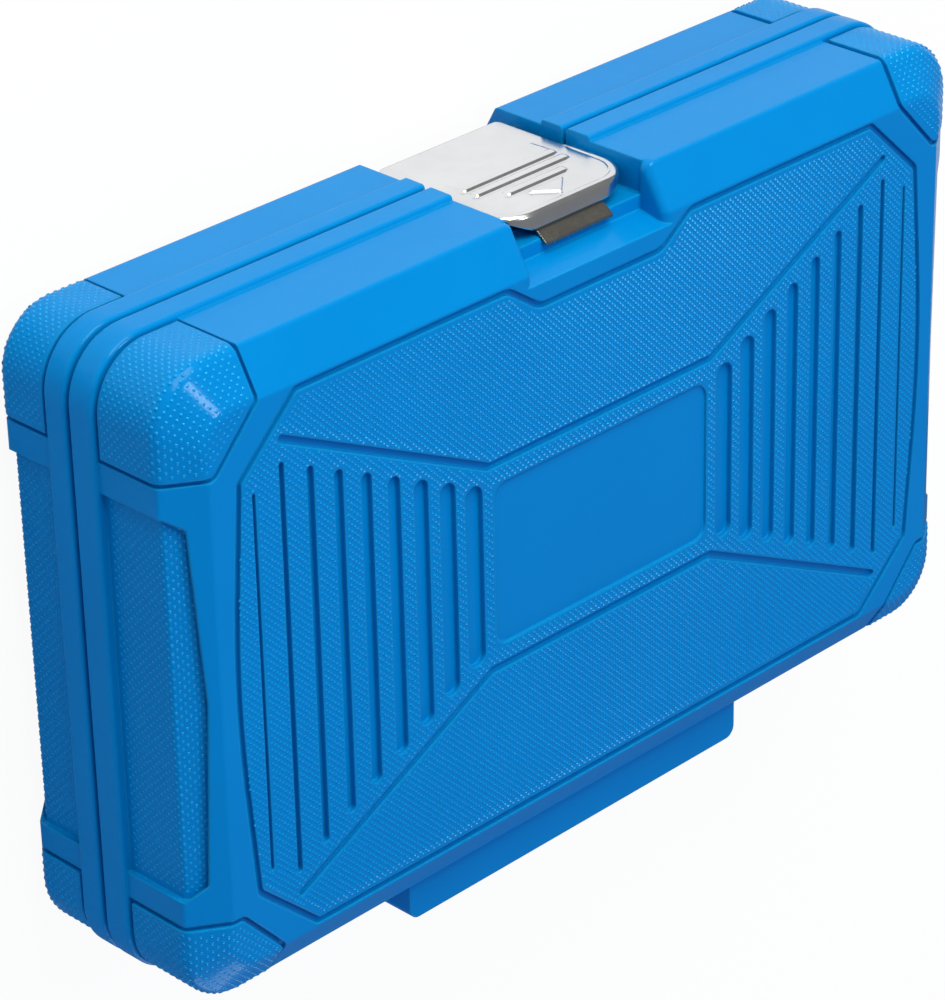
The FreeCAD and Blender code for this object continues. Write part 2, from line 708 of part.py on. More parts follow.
def latch_plate():
    """Stamped plate with shoulders, a lip, ribs, an arrow and two ears on the pin."""
    inside = LATCH_OUT_Y + LATCH_T
    through = Vector(0, LATCH_T, 0)
    neck = LATCH_SHOULDER - LATCH_NECK
    shape = [(-LATCH_LOW_X, LATCH_LOW), (LATCH_LOW_X, LATCH_LOW), (LATCH_LOW_X, neck),
             (LATCH_TOP_X, LATCH_SHOULDER), (LATCH_TOP_X, LATCH_TOP), (-LATCH_TOP_X, LATCH_TOP),
             (-LATCH_TOP_X, LATCH_SHOULDER), (-LATCH_LOW_X, neck)]
    radii = [RIB_W] * 2 + [LATCH_SMALL_R] * 2 + [LATCH_CORNER_R] * 2 + [LATCH_SMALL_R] * 2
    plate = prism(shape, radii, facing(LATCH_OUT_Y), through)
    lip = block(-LATCH_LIP_X, LATCH_LIP_X, LATCH_OUT_Y, LATCH_OUT_Y + LATCH_LIP,
                LATCH_TOP - LATCH_T, LATCH_TOP)
    middle = inside - LATCH_T / 2
    ramp = [(middle, RAMP_Z), (LATCH_OUT_Y - RIB_H, RIB_LOW_Z), (middle, RIB_LOW_Z)]
    arrow = [(-ARROW_X, ARROW_Z), (ARROW_X, ARROW_Z), (0, ARROW_TIP_Z)]
    added = [lip, latch_rib(RIB_LOW_Z, RIB_WIDE), latch_rib(RIB_MID_Z, RIB_WIDE),
             latch_rib(RIB_TOP_Z, RIB_NARROW),
             prism(ramp, [0] * 3, upright(-RIB_WIDE), Vector(2 * RIB_WIDE, 0, 0)),
             prism(arrow, RIB_H, facing(LATCH_OUT_Y - RIB_H), Vector(0, RIB_H + LATCH_T / 2, 0))]
    for x in (-EAR_X, EAR_X - EAR_T):
        ear = rod_x(x, x + EAR_T, LATCH_PIN_Y, LATCH_PIN_Z, EAR_R)
        web = block(x, x + EAR_T, LATCH_OUT_Y, LATCH_PIN_Y, LATCH_PIN_Z - EAR_R, LATCH_PIN_Z + EAR_R)
        added += [ear, web]
    hole = rod_x(-EAR_X - PASS, EAR_X + PASS, LATCH_PIN_Y, LATCH_PIN_Z, EAR_HOLE_R)
    return plate.fuse(added).cut(hole).removeSplitter()


def latch_keeper():
    """Bent strip on the lid whose nose the lip hooks over."""
    line = [(RECESS_Y - KEEPER_T, KEEPER_LOW), (RECESS_Y, KEEPER_LOW), (RECESS_Y, KEEPER_RISE_Z),
            (KEEPER_NOSE_Y + KEEPER_T, KEEPER_NOSE_Z), (KEEPER_END_Y + KEEPER_T, KEEPER_END_Z),
            (KEEPER_END_Y, KEEPER_END_Z), (KEEPER_NOSE_Y, KEEPER_NOSE_Z),
            (RECESS_Y - KEEPER_T, KEEPER_RISE_Z)]
    return prism(line, [0] * 8, upright(-KEEPER_X), Vector(2 * KEEPER_X, 0, 0))


def square_down(x, y, top, length):
    """Square drive pointing down, its tip chamfered."""
    half = SQUARE / 2
    bar = block(x - half, x + half, y - half, y + half, top - length, top)
    tip = [e for e in bar.Edges if all(abs(v.Z - top + length) < SAME for v in e.Vertexes)]
    return bar.makeChamfer(SQUARE_EDGE, tip)


def square_along(x0, length, y, z):
    """Square drive pointing along the case, its tip chamfered."""
    half = SQUARE / 2
    bar = block(x0, x0 + length, y - half, y + half, z - half, z + half)
    tip = [e for e in bar.Edges if all(abs(v.X - x0 - length) < SAME for v in e.Vertexes)]
    return bar.makeChamfer(SQUARE_EDGE, tip)


def square_hole_along(x0, depth, y, z):
    """Female square along the case."""
    half = SQUARE_HOLE / 2
    return block(x0 - PASS, x0 + depth, y - half, y + half, z - half, z + half)


def rounded_bar(x, half_w, half_h):
    """Cross section of the ratchet's neck."""
    points = [(-half_w, -half_h), (half_w, -half_h), (half_w, half_h), (-half_w, half_h)]
    points = [(ROW_RATCHET + y, HANDLE_Z + z) for y, z in points]
    return path(points, [half_h * NECK_ROUND] * 4, upright(x))


def ratchet_handle():
    """Forged head, neck and tang, hollowed for the gear, pawl, cover, lever and button."""
    head = lathe_z([(HEAD_R - HEAD_EDGE, HEAD_LOW), (HEAD_R, HEAD_LOW + HEAD_EDGE),
                    (HEAD_R, HEAD_TOP - HEAD_EDGE), (HEAD_R - HEAD_EDGE, HEAD_TOP)], HEAD_X, ROW_RATCHET)
    neck_end = HEAD_X + NECK_END_X
    neck = Part.makeLoft([rounded_bar(HEAD_X + NECK_X, NECK_HALF_W, NECK_HALF_H),
                          rounded_bar(neck_end, TANG_R + PASS, TANG_R)], True, True)
    tang = rod_x(neck_end - PASS, TANG_END, ROW_RATCHET, HANDLE_Z, TANG_R)
    chamber = block(HEAD_X, HEAD_X + PAWL_OUT + FIT, ROW_RATCHET - PAWL_HALF - FIT,
                    ROW_RATCHET + PAWL_HALF + FIT, HEAD_LOW + COVER_T, CHAMBER_TOP)
    holes = [rod_z(HEAD_X, ROW_RATCHET, HEAD_LOW - PASS, HEAD_LOW + COVER_T, COVER_BORE_R),
             rod_z(HEAD_X, ROW_RATCHET, HEAD_LOW, CHAMBER_TOP, GEAR_BORE_R), chamber,
             rod_z(HEAD_X, ROW_RATCHET, HEAD_LOW, HEAD_TOP + PASS, BUTTON_BORE_R),
             rod_z(HEAD_X + LEVER_X, ROW_RATCHET, HEAD_LOW + COVER_T, HEAD_TOP + PASS,
                   LEVER_SHAFT_R + FIT / 2)]
    return head.fuse([neck, tang]).cut(holes)


def ratchet_grip():
    """Waisted grip on the tang."""
    start = HEAD_X + NECK_END_X
    span = GRIP_END - start
    at = lambda part, radius: (start + span * part, radius)
    body = lathe_x([at(0, GRIP_WAIST_R - PASS), at(GRIP_EASE, GRIP_WAIST_R), at(GRIP_COLLAR, GRIP_R),
                    at(GRIP_COLLAR_END, GRIP_R), at(GRIP_WAIST, GRIP_WAIST_R), at(GRIP_SWELL, GRIP_R),
                    at(GRIP_TAIL, GRIP_R), at(1 - GRIP_EASE, GRIP_WAIST_R - PASS), at(1, GRIP_TIP_R)],
                   ROW_RATCHET, HANDLE_Z)
    return body.cut(rod_x(start - PASS, TANG_END + GRIP_FIT, ROW_RATCHET, HANDLE_Z, TANG_R + GRIP_FIT))


def ratchet_cover():
    """Round plate that closes the gear chamber."""
    plate = rod_z(HEAD_X, ROW_RATCHET, HEAD_LOW, HEAD_LOW + COVER_T, COVER_R)
    return plate.cut(rod_z(HEAD_X, ROW_RATCHET, HEAD_LOW - PASS, HEAD_TOP, COVER_HOLE_R))


def gear_prism(tip, root, low, high):
    """Fine-toothed wheel of the ratchet."""
    points = []
    for i in range(2 * GEAR_TEETH):
        angle = math.pi * i / GEAR_TEETH
        radius = root if i % 2 == 0 else tip
        x, y = HEAD_X + radius * math.cos(angle), ROW_RATCHET + radius * math.sin(angle)
        points.append(Vector(x, y, low))
    return Part.Face(Part.makePolygon(points + [points[0]])).extrude(Vector(0, 0, high - low))


def ratchet_gear():
    """Toothed wheel pressed on the drive's shank."""
    wheel = gear_prism(GEAR_R, GEAR_ROOT_R, GEAR_LOW, GEAR_TOP)
    bore = rod_z(HEAD_X, ROW_RATCHET, GEAR_LOW - PASS, GEAR_TOP + PASS, DRIVE_NECK_R + GRIP_FIT)
    return wheel.cut(bore)


def ratchet_drive():
    """Shank with the square below it, the bore of the button and the detent's hole."""
    shank = rod_z(HEAD_X, ROW_RATCHET, DRIVE_NECK_LOW, GEAR_TOP, DRIVE_NECK_R)
    square = square_down(HEAD_X, ROW_RATCHET, DRIVE_NECK_LOW + PASS, SQUARE_L + PASS)
    deep = BALL_R + BALL_PLAY
    ball_x = HEAD_X + SQUARE / 2 - BALL_IN
    hole = rod_x(ball_x - deep, ball_x + SQUARE, ROW_RATCHET, BALL_Z, deep)
    bore = rod_z(HEAD_X, ROW_RATCHET, BUTTON_BORE_LOW, HEAD_TOP, BUTTON_BORE_R)
    return shank.fuse(square).cut([hole, bore])


def ratchet_ball():
    """Detent ball in the side of the square."""
    return Part.makeSphere(BALL_R, Vector(HEAD_X + SQUARE / 2 - BALL_IN, ROW_RATCHET, BALL_Z))


def ratchet_pawl():
    """Toothed block that meshes with the wheel."""
    body = block(HEAD_X + PAWL_IN, HEAD_X + PAWL_OUT, ROW_RATCHET - PAWL_HALF, ROW_RATCHET + PAWL_HALF,
                 GEAR_LOW, GEAR_TOP)
    wheel = gear_prism(GEAR_R + PAWL_PLAY, GEAR_ROOT_R + PAWL_PLAY, GEAR_LOW - PASS, GEAR_TOP + PASS)
    return body.cut(wheel)


def ratchet_lever():
    """Reversing lever on the back of the head, set to one side."""
    x = HEAD_X + LEVER_X
    disc = rod_z(x, ROW_RATCHET, LEVER_LOW, LEVER_LOW + LEVER_T, LEVER_R)
    shaft = rod_z(x, ROW_RATCHET, CHAMBER_TOP, LEVER_LOW + PASS, LEVER_SHAFT_R)
    tab = [(x, ROW_RATCHET - LEVER_HALF), (x + LEVER_L, ROW_RATCHET - LEVER_HALF),
           (x + LEVER_L, ROW_RATCHET + LEVER_HALF), (x, ROW_RATCHET + LEVER_HALF)]
    round_r = LEVER_HALF * LEVER_ROUND
    tab = prism(tab, [0, round_r, round_r, 0], flat(LEVER_LOW), Vector(0, 0, LEVER_TAB_T))
    lever = disc.fuse([shaft, tab])
    lever.rotate(Vector(x, ROW_RATCHET, 0), Vector(0, 0, 1), LEVER_REST)
    return lever


def ratchet_button():
    """Quick-release button in the middle of the head."""
    return lathe_z([(BUTTON_R, BUTTON_LOW), (BUTTON_R, BUTTON_TOP - SQUARE_EDGE),
                    (BUTTON_R - SQUARE_EDGE, BUTTON_TOP)], HEAD_X, ROW_RATCHET)


def spinner_grip():
    """Fluted screwdriver grip with a female square in its butt."""
    end = SPIN_X + SPIN_GRIP_L
    wide_neck = SPIN_NECK_R + PASS
    body = lathe_x([(SPIN_X, SPIN_BUTT_R), (SPIN_X + PASS, SPIN_R - PASS), (SPIN_X + SPIN_BUTT_L, SPIN_R),
                    (end - SPIN_TAPER, SPIN_R), (end - SPIN_COLLAR, wide_neck),
                    (end - SPIN_WAIST, SPIN_NECK_R), (end - 2 * PASS, wide_neck), (end, SPIN_NECK_R)],
                   ROW_SPINNER, SPIN_Z)
    flutes = []
    for i in range(FLUTES):
        angle = 2 * math.pi * (i + 0.5) / FLUTES
        y = ROW_SPINNER + FLUTE_AT * math.cos(angle)
        z = SPIN_Z + FLUTE_AT * math.sin(angle)
        flutes.append(rod_x(SPIN_X - PASS, end + PASS, y, z, FLUTE_R))
    bore = rod_x(end - SHANK_IN, end + PASS, ROW_SPINNER, SPIN_Z, SHANK_R + GRIP_FIT)
    return body.cut(flutes + [bore, square_hole_along(SPIN_X, SQUARE_DEEP, ROW_SPINNER, SPIN_Z)])


def spinner_shank():
    """Round blade of the spinner with a square end."""
    start = SPIN_X + SPIN_GRIP_L - SHANK_IN + GRIP_FIT
    bar = rod_x(start, SHANK_END, ROW_SPINNER, SPIN_Z, SHANK_R)
    return bar.fuse(square_along(SHANK_END - PASS, SQUARE_L + PASS, ROW_SPINNER, SPIN_Z))


def extension(length, row):
    """Extension bar with a female end and a square end."""
    stop = BAR_X + length - SQUARE_L
    neck = BAR_X + BAR_END_L
    bar = lathe_x([(BAR_X, BAR_END_R - SQUARE_EDGE), (BAR_X + SQUARE_EDGE, BAR_END_R), (neck, BAR_END_R),
                   (neck + BAR_CONE, BAR_R), (stop - SQUARE_EDGE, BAR_R), (stop, BAR_R - SQUARE_EDGE)],
                  row, BAR_Z)
    bar = bar.fuse(square_along(stop - PASS, SQUARE_L + PASS, row, BAR_Z))
    return bar.cut(square_hole_along(BAR_X, SQUARE_DEEP, row, BAR_Z))


def tbar_rod():
    """Bar of the sliding handle, a ball at each end."""
    low, high = ROD_X + ROD_BALL_R, ROD_X + ROD_L - ROD_BALL_R
    balls = [Part.makeSphere(ROD_BALL_R, Vector(x, ROW_BARS, ROD_Z)) for x in (low, high)]
    return rod_x(low, high, ROW_BARS, ROD_Z, ROD_R).fuse(balls)


def tbar_slider():
    """Block that runs along the bar and carries the square."""
    body = lathe_z([(SLIDER_R - SLIDER_EDGE, SLIDER_LOW), (SLIDER_R, SLIDER_LOW + SLIDER_EDGE),
                    (SLIDER_R, SLIDER_TOP - SLIDER_EDGE), (SLIDER_R - SLIDER_EDGE, SLIDER_TOP)],
                   SLIDER_X, ROW_BARS)
    body = body.fuse(square_down(SLIDER_X, ROW_BARS, SLIDER_LOW + PASS, SQUARE_L + PASS))
    return body.cut(rod_x(SLIDER_X - FAR, SLIDER_X + FAR, ROW_BARS, ROD_Z, SLIDER_HOLE_R))


def yoke_ears(start, turn):
    """Two rounded ears beside the cross, turned about the tool's axis."""
    ears = []
    for low in (EAR_IN, -EAR_OUT):
        near, far = min(start, JOINT_X), max(start, JOINT_X)
        bar = block(near, far, -EAR_HALF, EAR_HALF, low, low + EAR_OUT - EAR_IN)
        tip = Part.makeCylinder(EAR_HALF, EAR_OUT - EAR_IN, Vector(JOINT_X, 0, low))
        ears.append(bar.fuse(tip))
    both = ears[0].fuse(ears[1]).common(rod_x(JOINT_X - FAR, JOINT_X + FAR, 0, 0, JOINT_R))
    both = both.cut(Part.makeCylinder(CROSS_HOLE_R, 2 * FAR, Vector(JOINT_X, 0, -FAR)))
    both.rotate(Vector(0, 0, 0), Vector(1, 0, 0), turn)
    both.translate(Vector(0, ROW_RATCHET, JOINT_Z))
    return both


def ujoint_socket_yoke():
    """Female half of the universal joint."""
    body = lathe_x([(JOINT_START, JOINT_R - SQUARE_EDGE), (JOINT_START + SQUARE_EDGE, JOINT_R),
                    (YOKE_BODY_END, JOINT_R)], ROW_RATCHET, JOINT_Z)
    body = body.fuse(yoke_ears(YOKE_BODY_END - PASS, 0))
    return body.cut(square_hole_along(JOINT_START, SQUARE_DEEP, ROW_RATCHET, JOINT_Z))


def ujoint_drive_yoke():
    """Male half of the universal joint."""
    body = lathe_x([(DRIVE_BODY_X, JOINT_R - PASS), (DRIVE_BODY_X + PASS, JOINT_R),
                    (DRIVE_BODY_END - PASS, JOINT_R), (DRIVE_BODY_END, JOINT_R - PASS)],
                   ROW_RATCHET, JOINT_Z)
    square = square_along(DRIVE_BODY_END - PASS, SQUARE_L + PASS, ROW_RATCHET, JOINT_Z)
    return body.fuse([yoke_ears(DRIVE_BODY_X + PASS, 90), square])


def ujoint_cross():
    """Cube with two crossed pins."""
    y, z = ROW_RATCHET, JOINT_Z
    cube = block(JOINT_X - CROSS_HALF, JOINT_X + CROSS_HALF, y - CROSS_HALF, y + CROSS_HALF,
                 z - CROSS_HALF, z + CROSS_HALF)
    reach = 2 * (EAR_OUT - FIT / 2)
    upright_pin = rod_z(JOINT_X, y, z - reach / 2, z + reach / 2, CROSS_PIN_R)
    cross_pin = Part.makeCylinder(CROSS_PIN_R, reach, Vector(JOINT_X, y - reach / 2, z), Vector(0, 1, 0))
    return cube.fuse([upright_pin, cross_pin])


def socket(size, x, y):
    """Six-point socket: square end down, hexagon end up."""
    top = SOCKET_LOW + SOCKET_L
    wide = socket_radius(size)
    step = SOCKET_LOW + SOCKET_DRIVE_L
    body = lathe_z([(SOCKET_DRIVE_R - SOCKET_EDGE, SOCKET_LOW), (SOCKET_DRIVE_R, SOCKET_LOW + SOCKET_EDGE),
                    (SOCKET_DRIVE_R, step), (wide, step + SOCKET_CONE), (wide, top - SOCKET_EDGE),
                    (wide - SOCKET_EDGE, top)], x, y)
    corner = (size + HEX_PLAY) / math.sqrt(3)
    points = []
    for i in range(HEX_SIDES):
        angle = 2 * math.pi * (i + 0.5) / HEX_SIDES
        points.append(Vector(x + corner * math.cos(angle), y + corner * math.sin(angle), top - HEX_DEEP))
    hexagon = Part.Face(Part.makePolygon(points + [points[0]])).extrude(Vector(0, 0, HEX_DEEP + PASS))
    half = SQUARE_HOLE / 2
    square = block(x - half, x + half, y - half, y + half, SOCKET_LOW - PASS, SOCKET_LOW + SQUARE_DEEP)
    through = rod_z(x, y, SOCKET_LOW, top, size * SOCKET_BORE_PART)
    return body.cut([hexagon, square, through])


def socket_name(size):
    """Node name of a socket, sizes in tenths where needed."""
    return "socket_" + ("%g" % size).replace(".", "_")


def build():
    """Every node of the part by name."""
    made = {"base_shell": base_shell(), "lid_shell": lid_shell(), "hinge_pin": hinge_pin(),
            "latch_plate": latch_plate(), "latch_pin": latch_pin(), "latch_keeper": latch_keeper(),
            "ratchet_handle": ratchet_handle(), "ratchet_grip": ratchet_grip(),
            "ratchet_cover": ratchet_cover(), "ratchet_gear": ratchet_gear(),
            "ratchet_drive": ratchet_drive(), "ratchet_ball": ratchet_ball(),
            "ratchet_pawl": ratchet_pawl(), "ratchet_lever": ratchet_lever(),
            "ratchet_button": ratchet_button(), "spinner_grip": spinner_grip(),
            "spinner_shank": spinner_shank(), "extension_short": extension(SHORT_L, ROW_SPINNER),
            "extension_long": extension(LONG_L, ROW_BARS),
            "tbar_rod": tbar_rod(), "tbar_slider": tbar_slider(),
            "ujoint_socket_yoke": ujoint_socket_yoke(), "ujoint_drive_yoke": ujoint_drive_yoke(),
            "ujoint_cross": ujoint_cross()}
    for size, x, y in socket_list():
        made[socket_name(size)] = socket(size, x, y)
    return made


os.makedirs("parts", exist_ok=True)
for name, shape in build().items():
    shape.exportStep("parts/" + name + ".step")
    print(name, shape.isValid(), len(shape.Solids), round(shape.Volume))
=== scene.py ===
import json

import bmesh
import bpy
import numpy as np
from mathutils import Matrix


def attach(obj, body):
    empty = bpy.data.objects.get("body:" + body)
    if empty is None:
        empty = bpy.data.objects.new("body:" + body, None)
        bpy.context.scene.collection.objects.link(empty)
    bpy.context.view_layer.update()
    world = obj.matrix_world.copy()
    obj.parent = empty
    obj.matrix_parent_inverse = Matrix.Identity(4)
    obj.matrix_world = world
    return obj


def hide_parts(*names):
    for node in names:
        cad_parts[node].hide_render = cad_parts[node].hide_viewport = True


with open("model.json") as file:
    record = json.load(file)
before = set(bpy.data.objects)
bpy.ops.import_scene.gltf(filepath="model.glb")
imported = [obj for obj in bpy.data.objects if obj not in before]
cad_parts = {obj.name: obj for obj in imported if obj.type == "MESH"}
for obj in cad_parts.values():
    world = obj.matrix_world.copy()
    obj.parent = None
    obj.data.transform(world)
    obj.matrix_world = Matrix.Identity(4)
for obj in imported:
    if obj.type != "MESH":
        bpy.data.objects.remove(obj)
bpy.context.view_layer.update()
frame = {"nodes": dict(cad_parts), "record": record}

# Metres in a millimetre, and the distance in metres at which points count as one
MM = 0.001
MERGE = 1e-6

# Case outline in millimetres, in the frame's axes
WALL_X = 130.2
WALL_FRONT = -84.75
WALL_REAR = 73.75
HEIGHT = 61.5
CORNER_R = 14.0
CHAMFER_H = 6.2
FACE_X = 120.8
FACE_FRONT = -73.85
FACE_REAR = 64.25
FACE_CORNER_R = 9.0
LID_RIM = 24.8
BASE_RIM = 21.1

# Moves of the knee and of the face's edge for each millimetre that a wall stands out or is sunk
KNEE_SHIFT = 0.54
FLUSH_SHIFT = 1.83
FACE_SHIFT = 0.30

# Corner bumpers: where each starts along the front or rear, and where its slanted side ends
FRONT_BUMPER = (105.7, 119.0, -59.65)
REAR_BUMPER = (105.4, 117.6, 50.6)
BUMPER_OUT = 0.35
BUMPER_MARGIN = 2.0
BUMPER_EDGE_R = 4.0
KNEE_REACH = 2.15
TOP_REACH = 1.2
PATH_FIRST = 0.3
PATH_LAST = 80.0
WALL_ROW = 0.8
GRID_IN = 15.0
GRID_HALF = 50.0
GRID_CLEAR = 0.6
SLOPE_STEP = 0.05
HALVINGS = 20
FULL_SHARE = 0.999

# End panels: their upper edge is bowed and its corners are cut
END_DEPTH = 1.4
END_FRONT = -52.25
END_REAR = 44.05
END_MARGIN = 0.9
END_EDGE = 1.8
END_BOW = 1.3
END_CUT = 6.0
END_CUT_SLOPE = 0.9

# Moulded dots: the shoulder is the share of radius and height of the middle ring
DOT_PITCH = 2.1
DOT_ROW = 1.05
DOT_R = 0.50
DOT_H = 0.14
DOT_SINK = 0.08
DOT_SHOULDER = (0.66, 0.72)
DOT_SIDES = 6
NEAR_AXIS = 0.7

# Panel on the lid's face, with its notch, bows, plate and slots
PANEL_Y = -4.75
PANEL_CORNER_X = 95.7
PANEL_SIDE_X = 113.4
PANEL_BULGE_X = 117.5
PANEL_HALF = 68.5
PANEL_SIDE_HALF = 51.9
PANEL_MARGIN = 2.6
NOTCH_Y = -66.25
NOTCH_X = 30.0
NOTCH_RAMP = 9.0
NOTCH_SLOPE = 0.72
BOW_END = (100.0, 57.6)
BOW_IN = (37.65, 26.6)
BOW_MARGIN = 1.55
PLATE_HALF = (36.15, 21.1)
SLOTS = 9
SLOT_OUT_X = 108.6
SLOT_PITCH = 8.25
SLOT_OUT_W = 0.9
SLOT_W_STEP = 0.58
SLOT_IN_HALF = 21.0
SLOT_SLOPE = 0.497
SLOT_OUT_HALF = 47.7
SLOT_MARGIN = 0.55
PIMPLE_REACH = 130.0
PIMPLE_PITCH = 1.25
PIMPLE_HALF = 0.48
PIMPLE_H = 0.34
PIMPLE_SINK = 0.03

# Latch sheet
LATCH_GRID = (141, 150)
LATCH_OUT_Y = -83.05
LATCH_T = 0.8
LATCH_LOW = 9.3
LATCH_LOW_R = 1.6
LATCH_TOP = 52.2
LATCH_LOW_X = 20.0
LATCH_TOP_X = 22.0
LATCH_SHOULDER = 30.5
SHOULDER_EASE = 1.0
LATCH_CORNER = 10.0
LATCH_BEND = 1.4
BEND_STEPS = 9
LATCH_LIP = 4.5
LATCH_LIP_X = 15.0
LIP_FADE = 4.0
LIP_LEAST = 0.2
LIP_STEPS = 6
RIBS = ((32.0, 15.5), (36.0, 15.5), (40.8, 10.0))
RIB_H = 0.65
RIB_W = 1.2
RIB_SIDE = 0.3
RAMP_Z = 23.5
CREASE_IN = 0.9
CREASE_W = 0.40
CREASE_D = 0.22
CREASE_FADE = 4.0
ARROW_Z = 44.0
ARROW_TIP = 49.2
ARROW_X = 5.8

# Latch ears, rings on the pin at these y and z
LATCH_PIN = (-80.6, 12.0)
EAR_X = 16.5
EAR_T = 0.9
EAR_R = 2.4
EAR_FLAT = 0.9
EAR_HOLE = 1.3
EAR_SIDES = 48

# Camera of the photograph, in metres
CAMERA_AT = (0.62136, -0.46450, 0.64450)
CAMERA_RIGHT = (-0.70195, 0.02074, 0.71192)
CAMERA_UP = (-0.34888, -0.88146, -0.31831)
CAMERA_BACK = (0.62093, -0.47181, 0.62598)
LENS = 148.585
SENSOR = 36.0

# Finishes: pairs are the darker and the paler colour of a mottled surface
WHITE = (1.0, 1.0, 1.0, 1)
CASE_BLUE = ((0.0, 0.160, 0.500, 1), (0.0, 0.182, 0.545, 1))
# Dots: the case's blue painted paler, a painted highlight
DOT_HIGHLIT_BLUE = ((0.0, 0.200, 0.570, 1), (0.0, 0.225, 0.620, 1))
# Painted highlight: paler blue that is mixed into the case's colour along its edges
EDGE_HIGHLIGHT_BLUE = (0.01, 0.34, 0.76, 1)
BLUE_SHEEN = (0.2, 0.75, 1.0, 1)
BLUE_MOTTLE = 28.0
LATCH_BRIGHT = ((0.70, 0.71, 0.73, 1), (0.86, 0.87, 0.88, 1))
GRIP_BLACK = ((0.018, 0.018, 0.02, 1), (0.03, 0.03, 0.034, 1))
STEEL_DARK = 0.88
COAT_ROUGHNESS = 0.1
CASE_EDGE = 0.0008
STEEL_EDGE = 0.0002
EDGE_SAMPLES = 4
# Gain and greatest share of the painted highlight on the case's edges
EDGE_HIGHLIGHT_GAIN = 4.0
EDGE_HIGHLIGHT_SHARE = 0.6

# Lamps: name, place, size in metres, power in watts and colour
LAMPS = (("key", (0.1, -0.95, 0.55), 0.7, 14.0, (1.0, 1.0, 0.72)),
         ("fill", (-0.16, -0.38, 1.17), 0.17, 3.4, (0.75, 0.86, 1.0)),
         ("bounce", (0.1, 1.0, 0.2), 0.6, 4.5, (0.8, 0.95, 1.0)))
LAMPS_ON = (0.0, 0.0, 0.03)

# Strength of the room: as light on surfaces, and as seen in sheen
ROOM_LIGHT = 0.48
ROOM_TINT = (0.75, 0.86, 1.0, 1)
ROOM_SHEEN = 0.20

# Floor in metres, with painted shade: reflections find it dim beyond the case's end and beyond the
# hinge
FLOOR_HALF = 6.0
PAPER = (0.8, 0.8, 0.8, 1)
FLOOR_WHITE = 0.94
REFLECTED_SHADE_TONE = (0.07, 0.07, 0.07, 1)
DIM_END_X = 0.122
DIM_END_Y = -0.10
DIM_HINGE_Y = 0.07
DIM_RAMP = 100.0


class Wire:
    """A shader value: operators on it add Math nodes, make() adds any other node."""

    def __init__(self, tree, socket=None):
        self.tree = tree
        self.socket = socket

    def make(self, kind, settings, inputs, output=0):
        """Add a node of a kind: settings first, then values or links of its sockets."""
        node = self.tree.nodes.new(kind)
        for key, value in settings.items():
            setattr(node, key, value)
        for key, value in inputs.items():
            if isinstance(value, Wire):
                self.tree.links.new(value.socket, node.inputs[key])
            else:
                node.inputs[key].default_value = value
        return Wire(self.tree, node.outputs[output])

    def math(self, operation, *others):
        """Math node on this value and others."""
        values = (self,) + others
        return self.make("ShaderNodeMath", {"operation": operation}, dict(enumerate(values)))

    def __add__(self, other):
        return self.math("ADD", other)

    def __mul__(self, other):
        return self.math("MULTIPLY", other)

    def __sub__(self, other):
        return self.math("SUBTRACT", other)

    def __rsub__(self, other):
        return self.make("ShaderNodeMath", {"operation": "SUBTRACT"}, {0: other, 1: self})

    __radd__ = __add__
    __rmul__ = __mul__

    def mix(self, low, high):
        """Colour between low and high by this value."""
        sockets = {0: self, 6: low, 7: high}
        return self.make("ShaderNodeMix", {"data_type": "RGBA"}, sockets, 2)


def new_material(name, metallic=0.0, roughness=0.5, specular=0.5, sheen=WHITE, coat=0.0):
    """Principled material with constant values set on its own sockets."""
    material = bpy.data.materials.new(name)
    material.use_nodes = True
    shader = material.node_tree.nodes["Principled BSDF"]
    shader.inputs["Metallic"].default_value = metallic
    shader.inputs["Roughness"].default_value = roughness
    shader.inputs["Specular IOR Level"].default_value = specular
    shader.inputs["Specular Tint"].default_value = sheen
    shader.inputs["Coat Weight"].default_value = coat
    shader.inputs["Coat Roughness"].default_value = COAT_ROUGHNESS
    return material, shader, Wire(material.node_tree)


def link(wire, socket):
    """Feed a wire into a socket."""
    wire.tree.links.new(wire.socket, socket)


def noise(wire, scale, detail=3.0):
    """Noise on object coordinates, 0 to 1."""
    place = wire.make("ShaderNodeTexCoord", {}, {}, "Object")
    inputs = {"Vector": place, "Scale": scale, "Detail": detail}
    return wire.make("ShaderNodeTexNoise", {}, inputs, "Fac")


def uneven(wire, scale, low, spread):
    """Value that noise raises from low by up to a spread."""
    return noise(wire, scale) * spread + low


def soft_edges(wire, radius):
    """Normal rounded over sharp edges."""
    return wire.make("ShaderNodeBevel", {"samples": EDGE_SAMPLES}, {"Radius": radius}, 0)


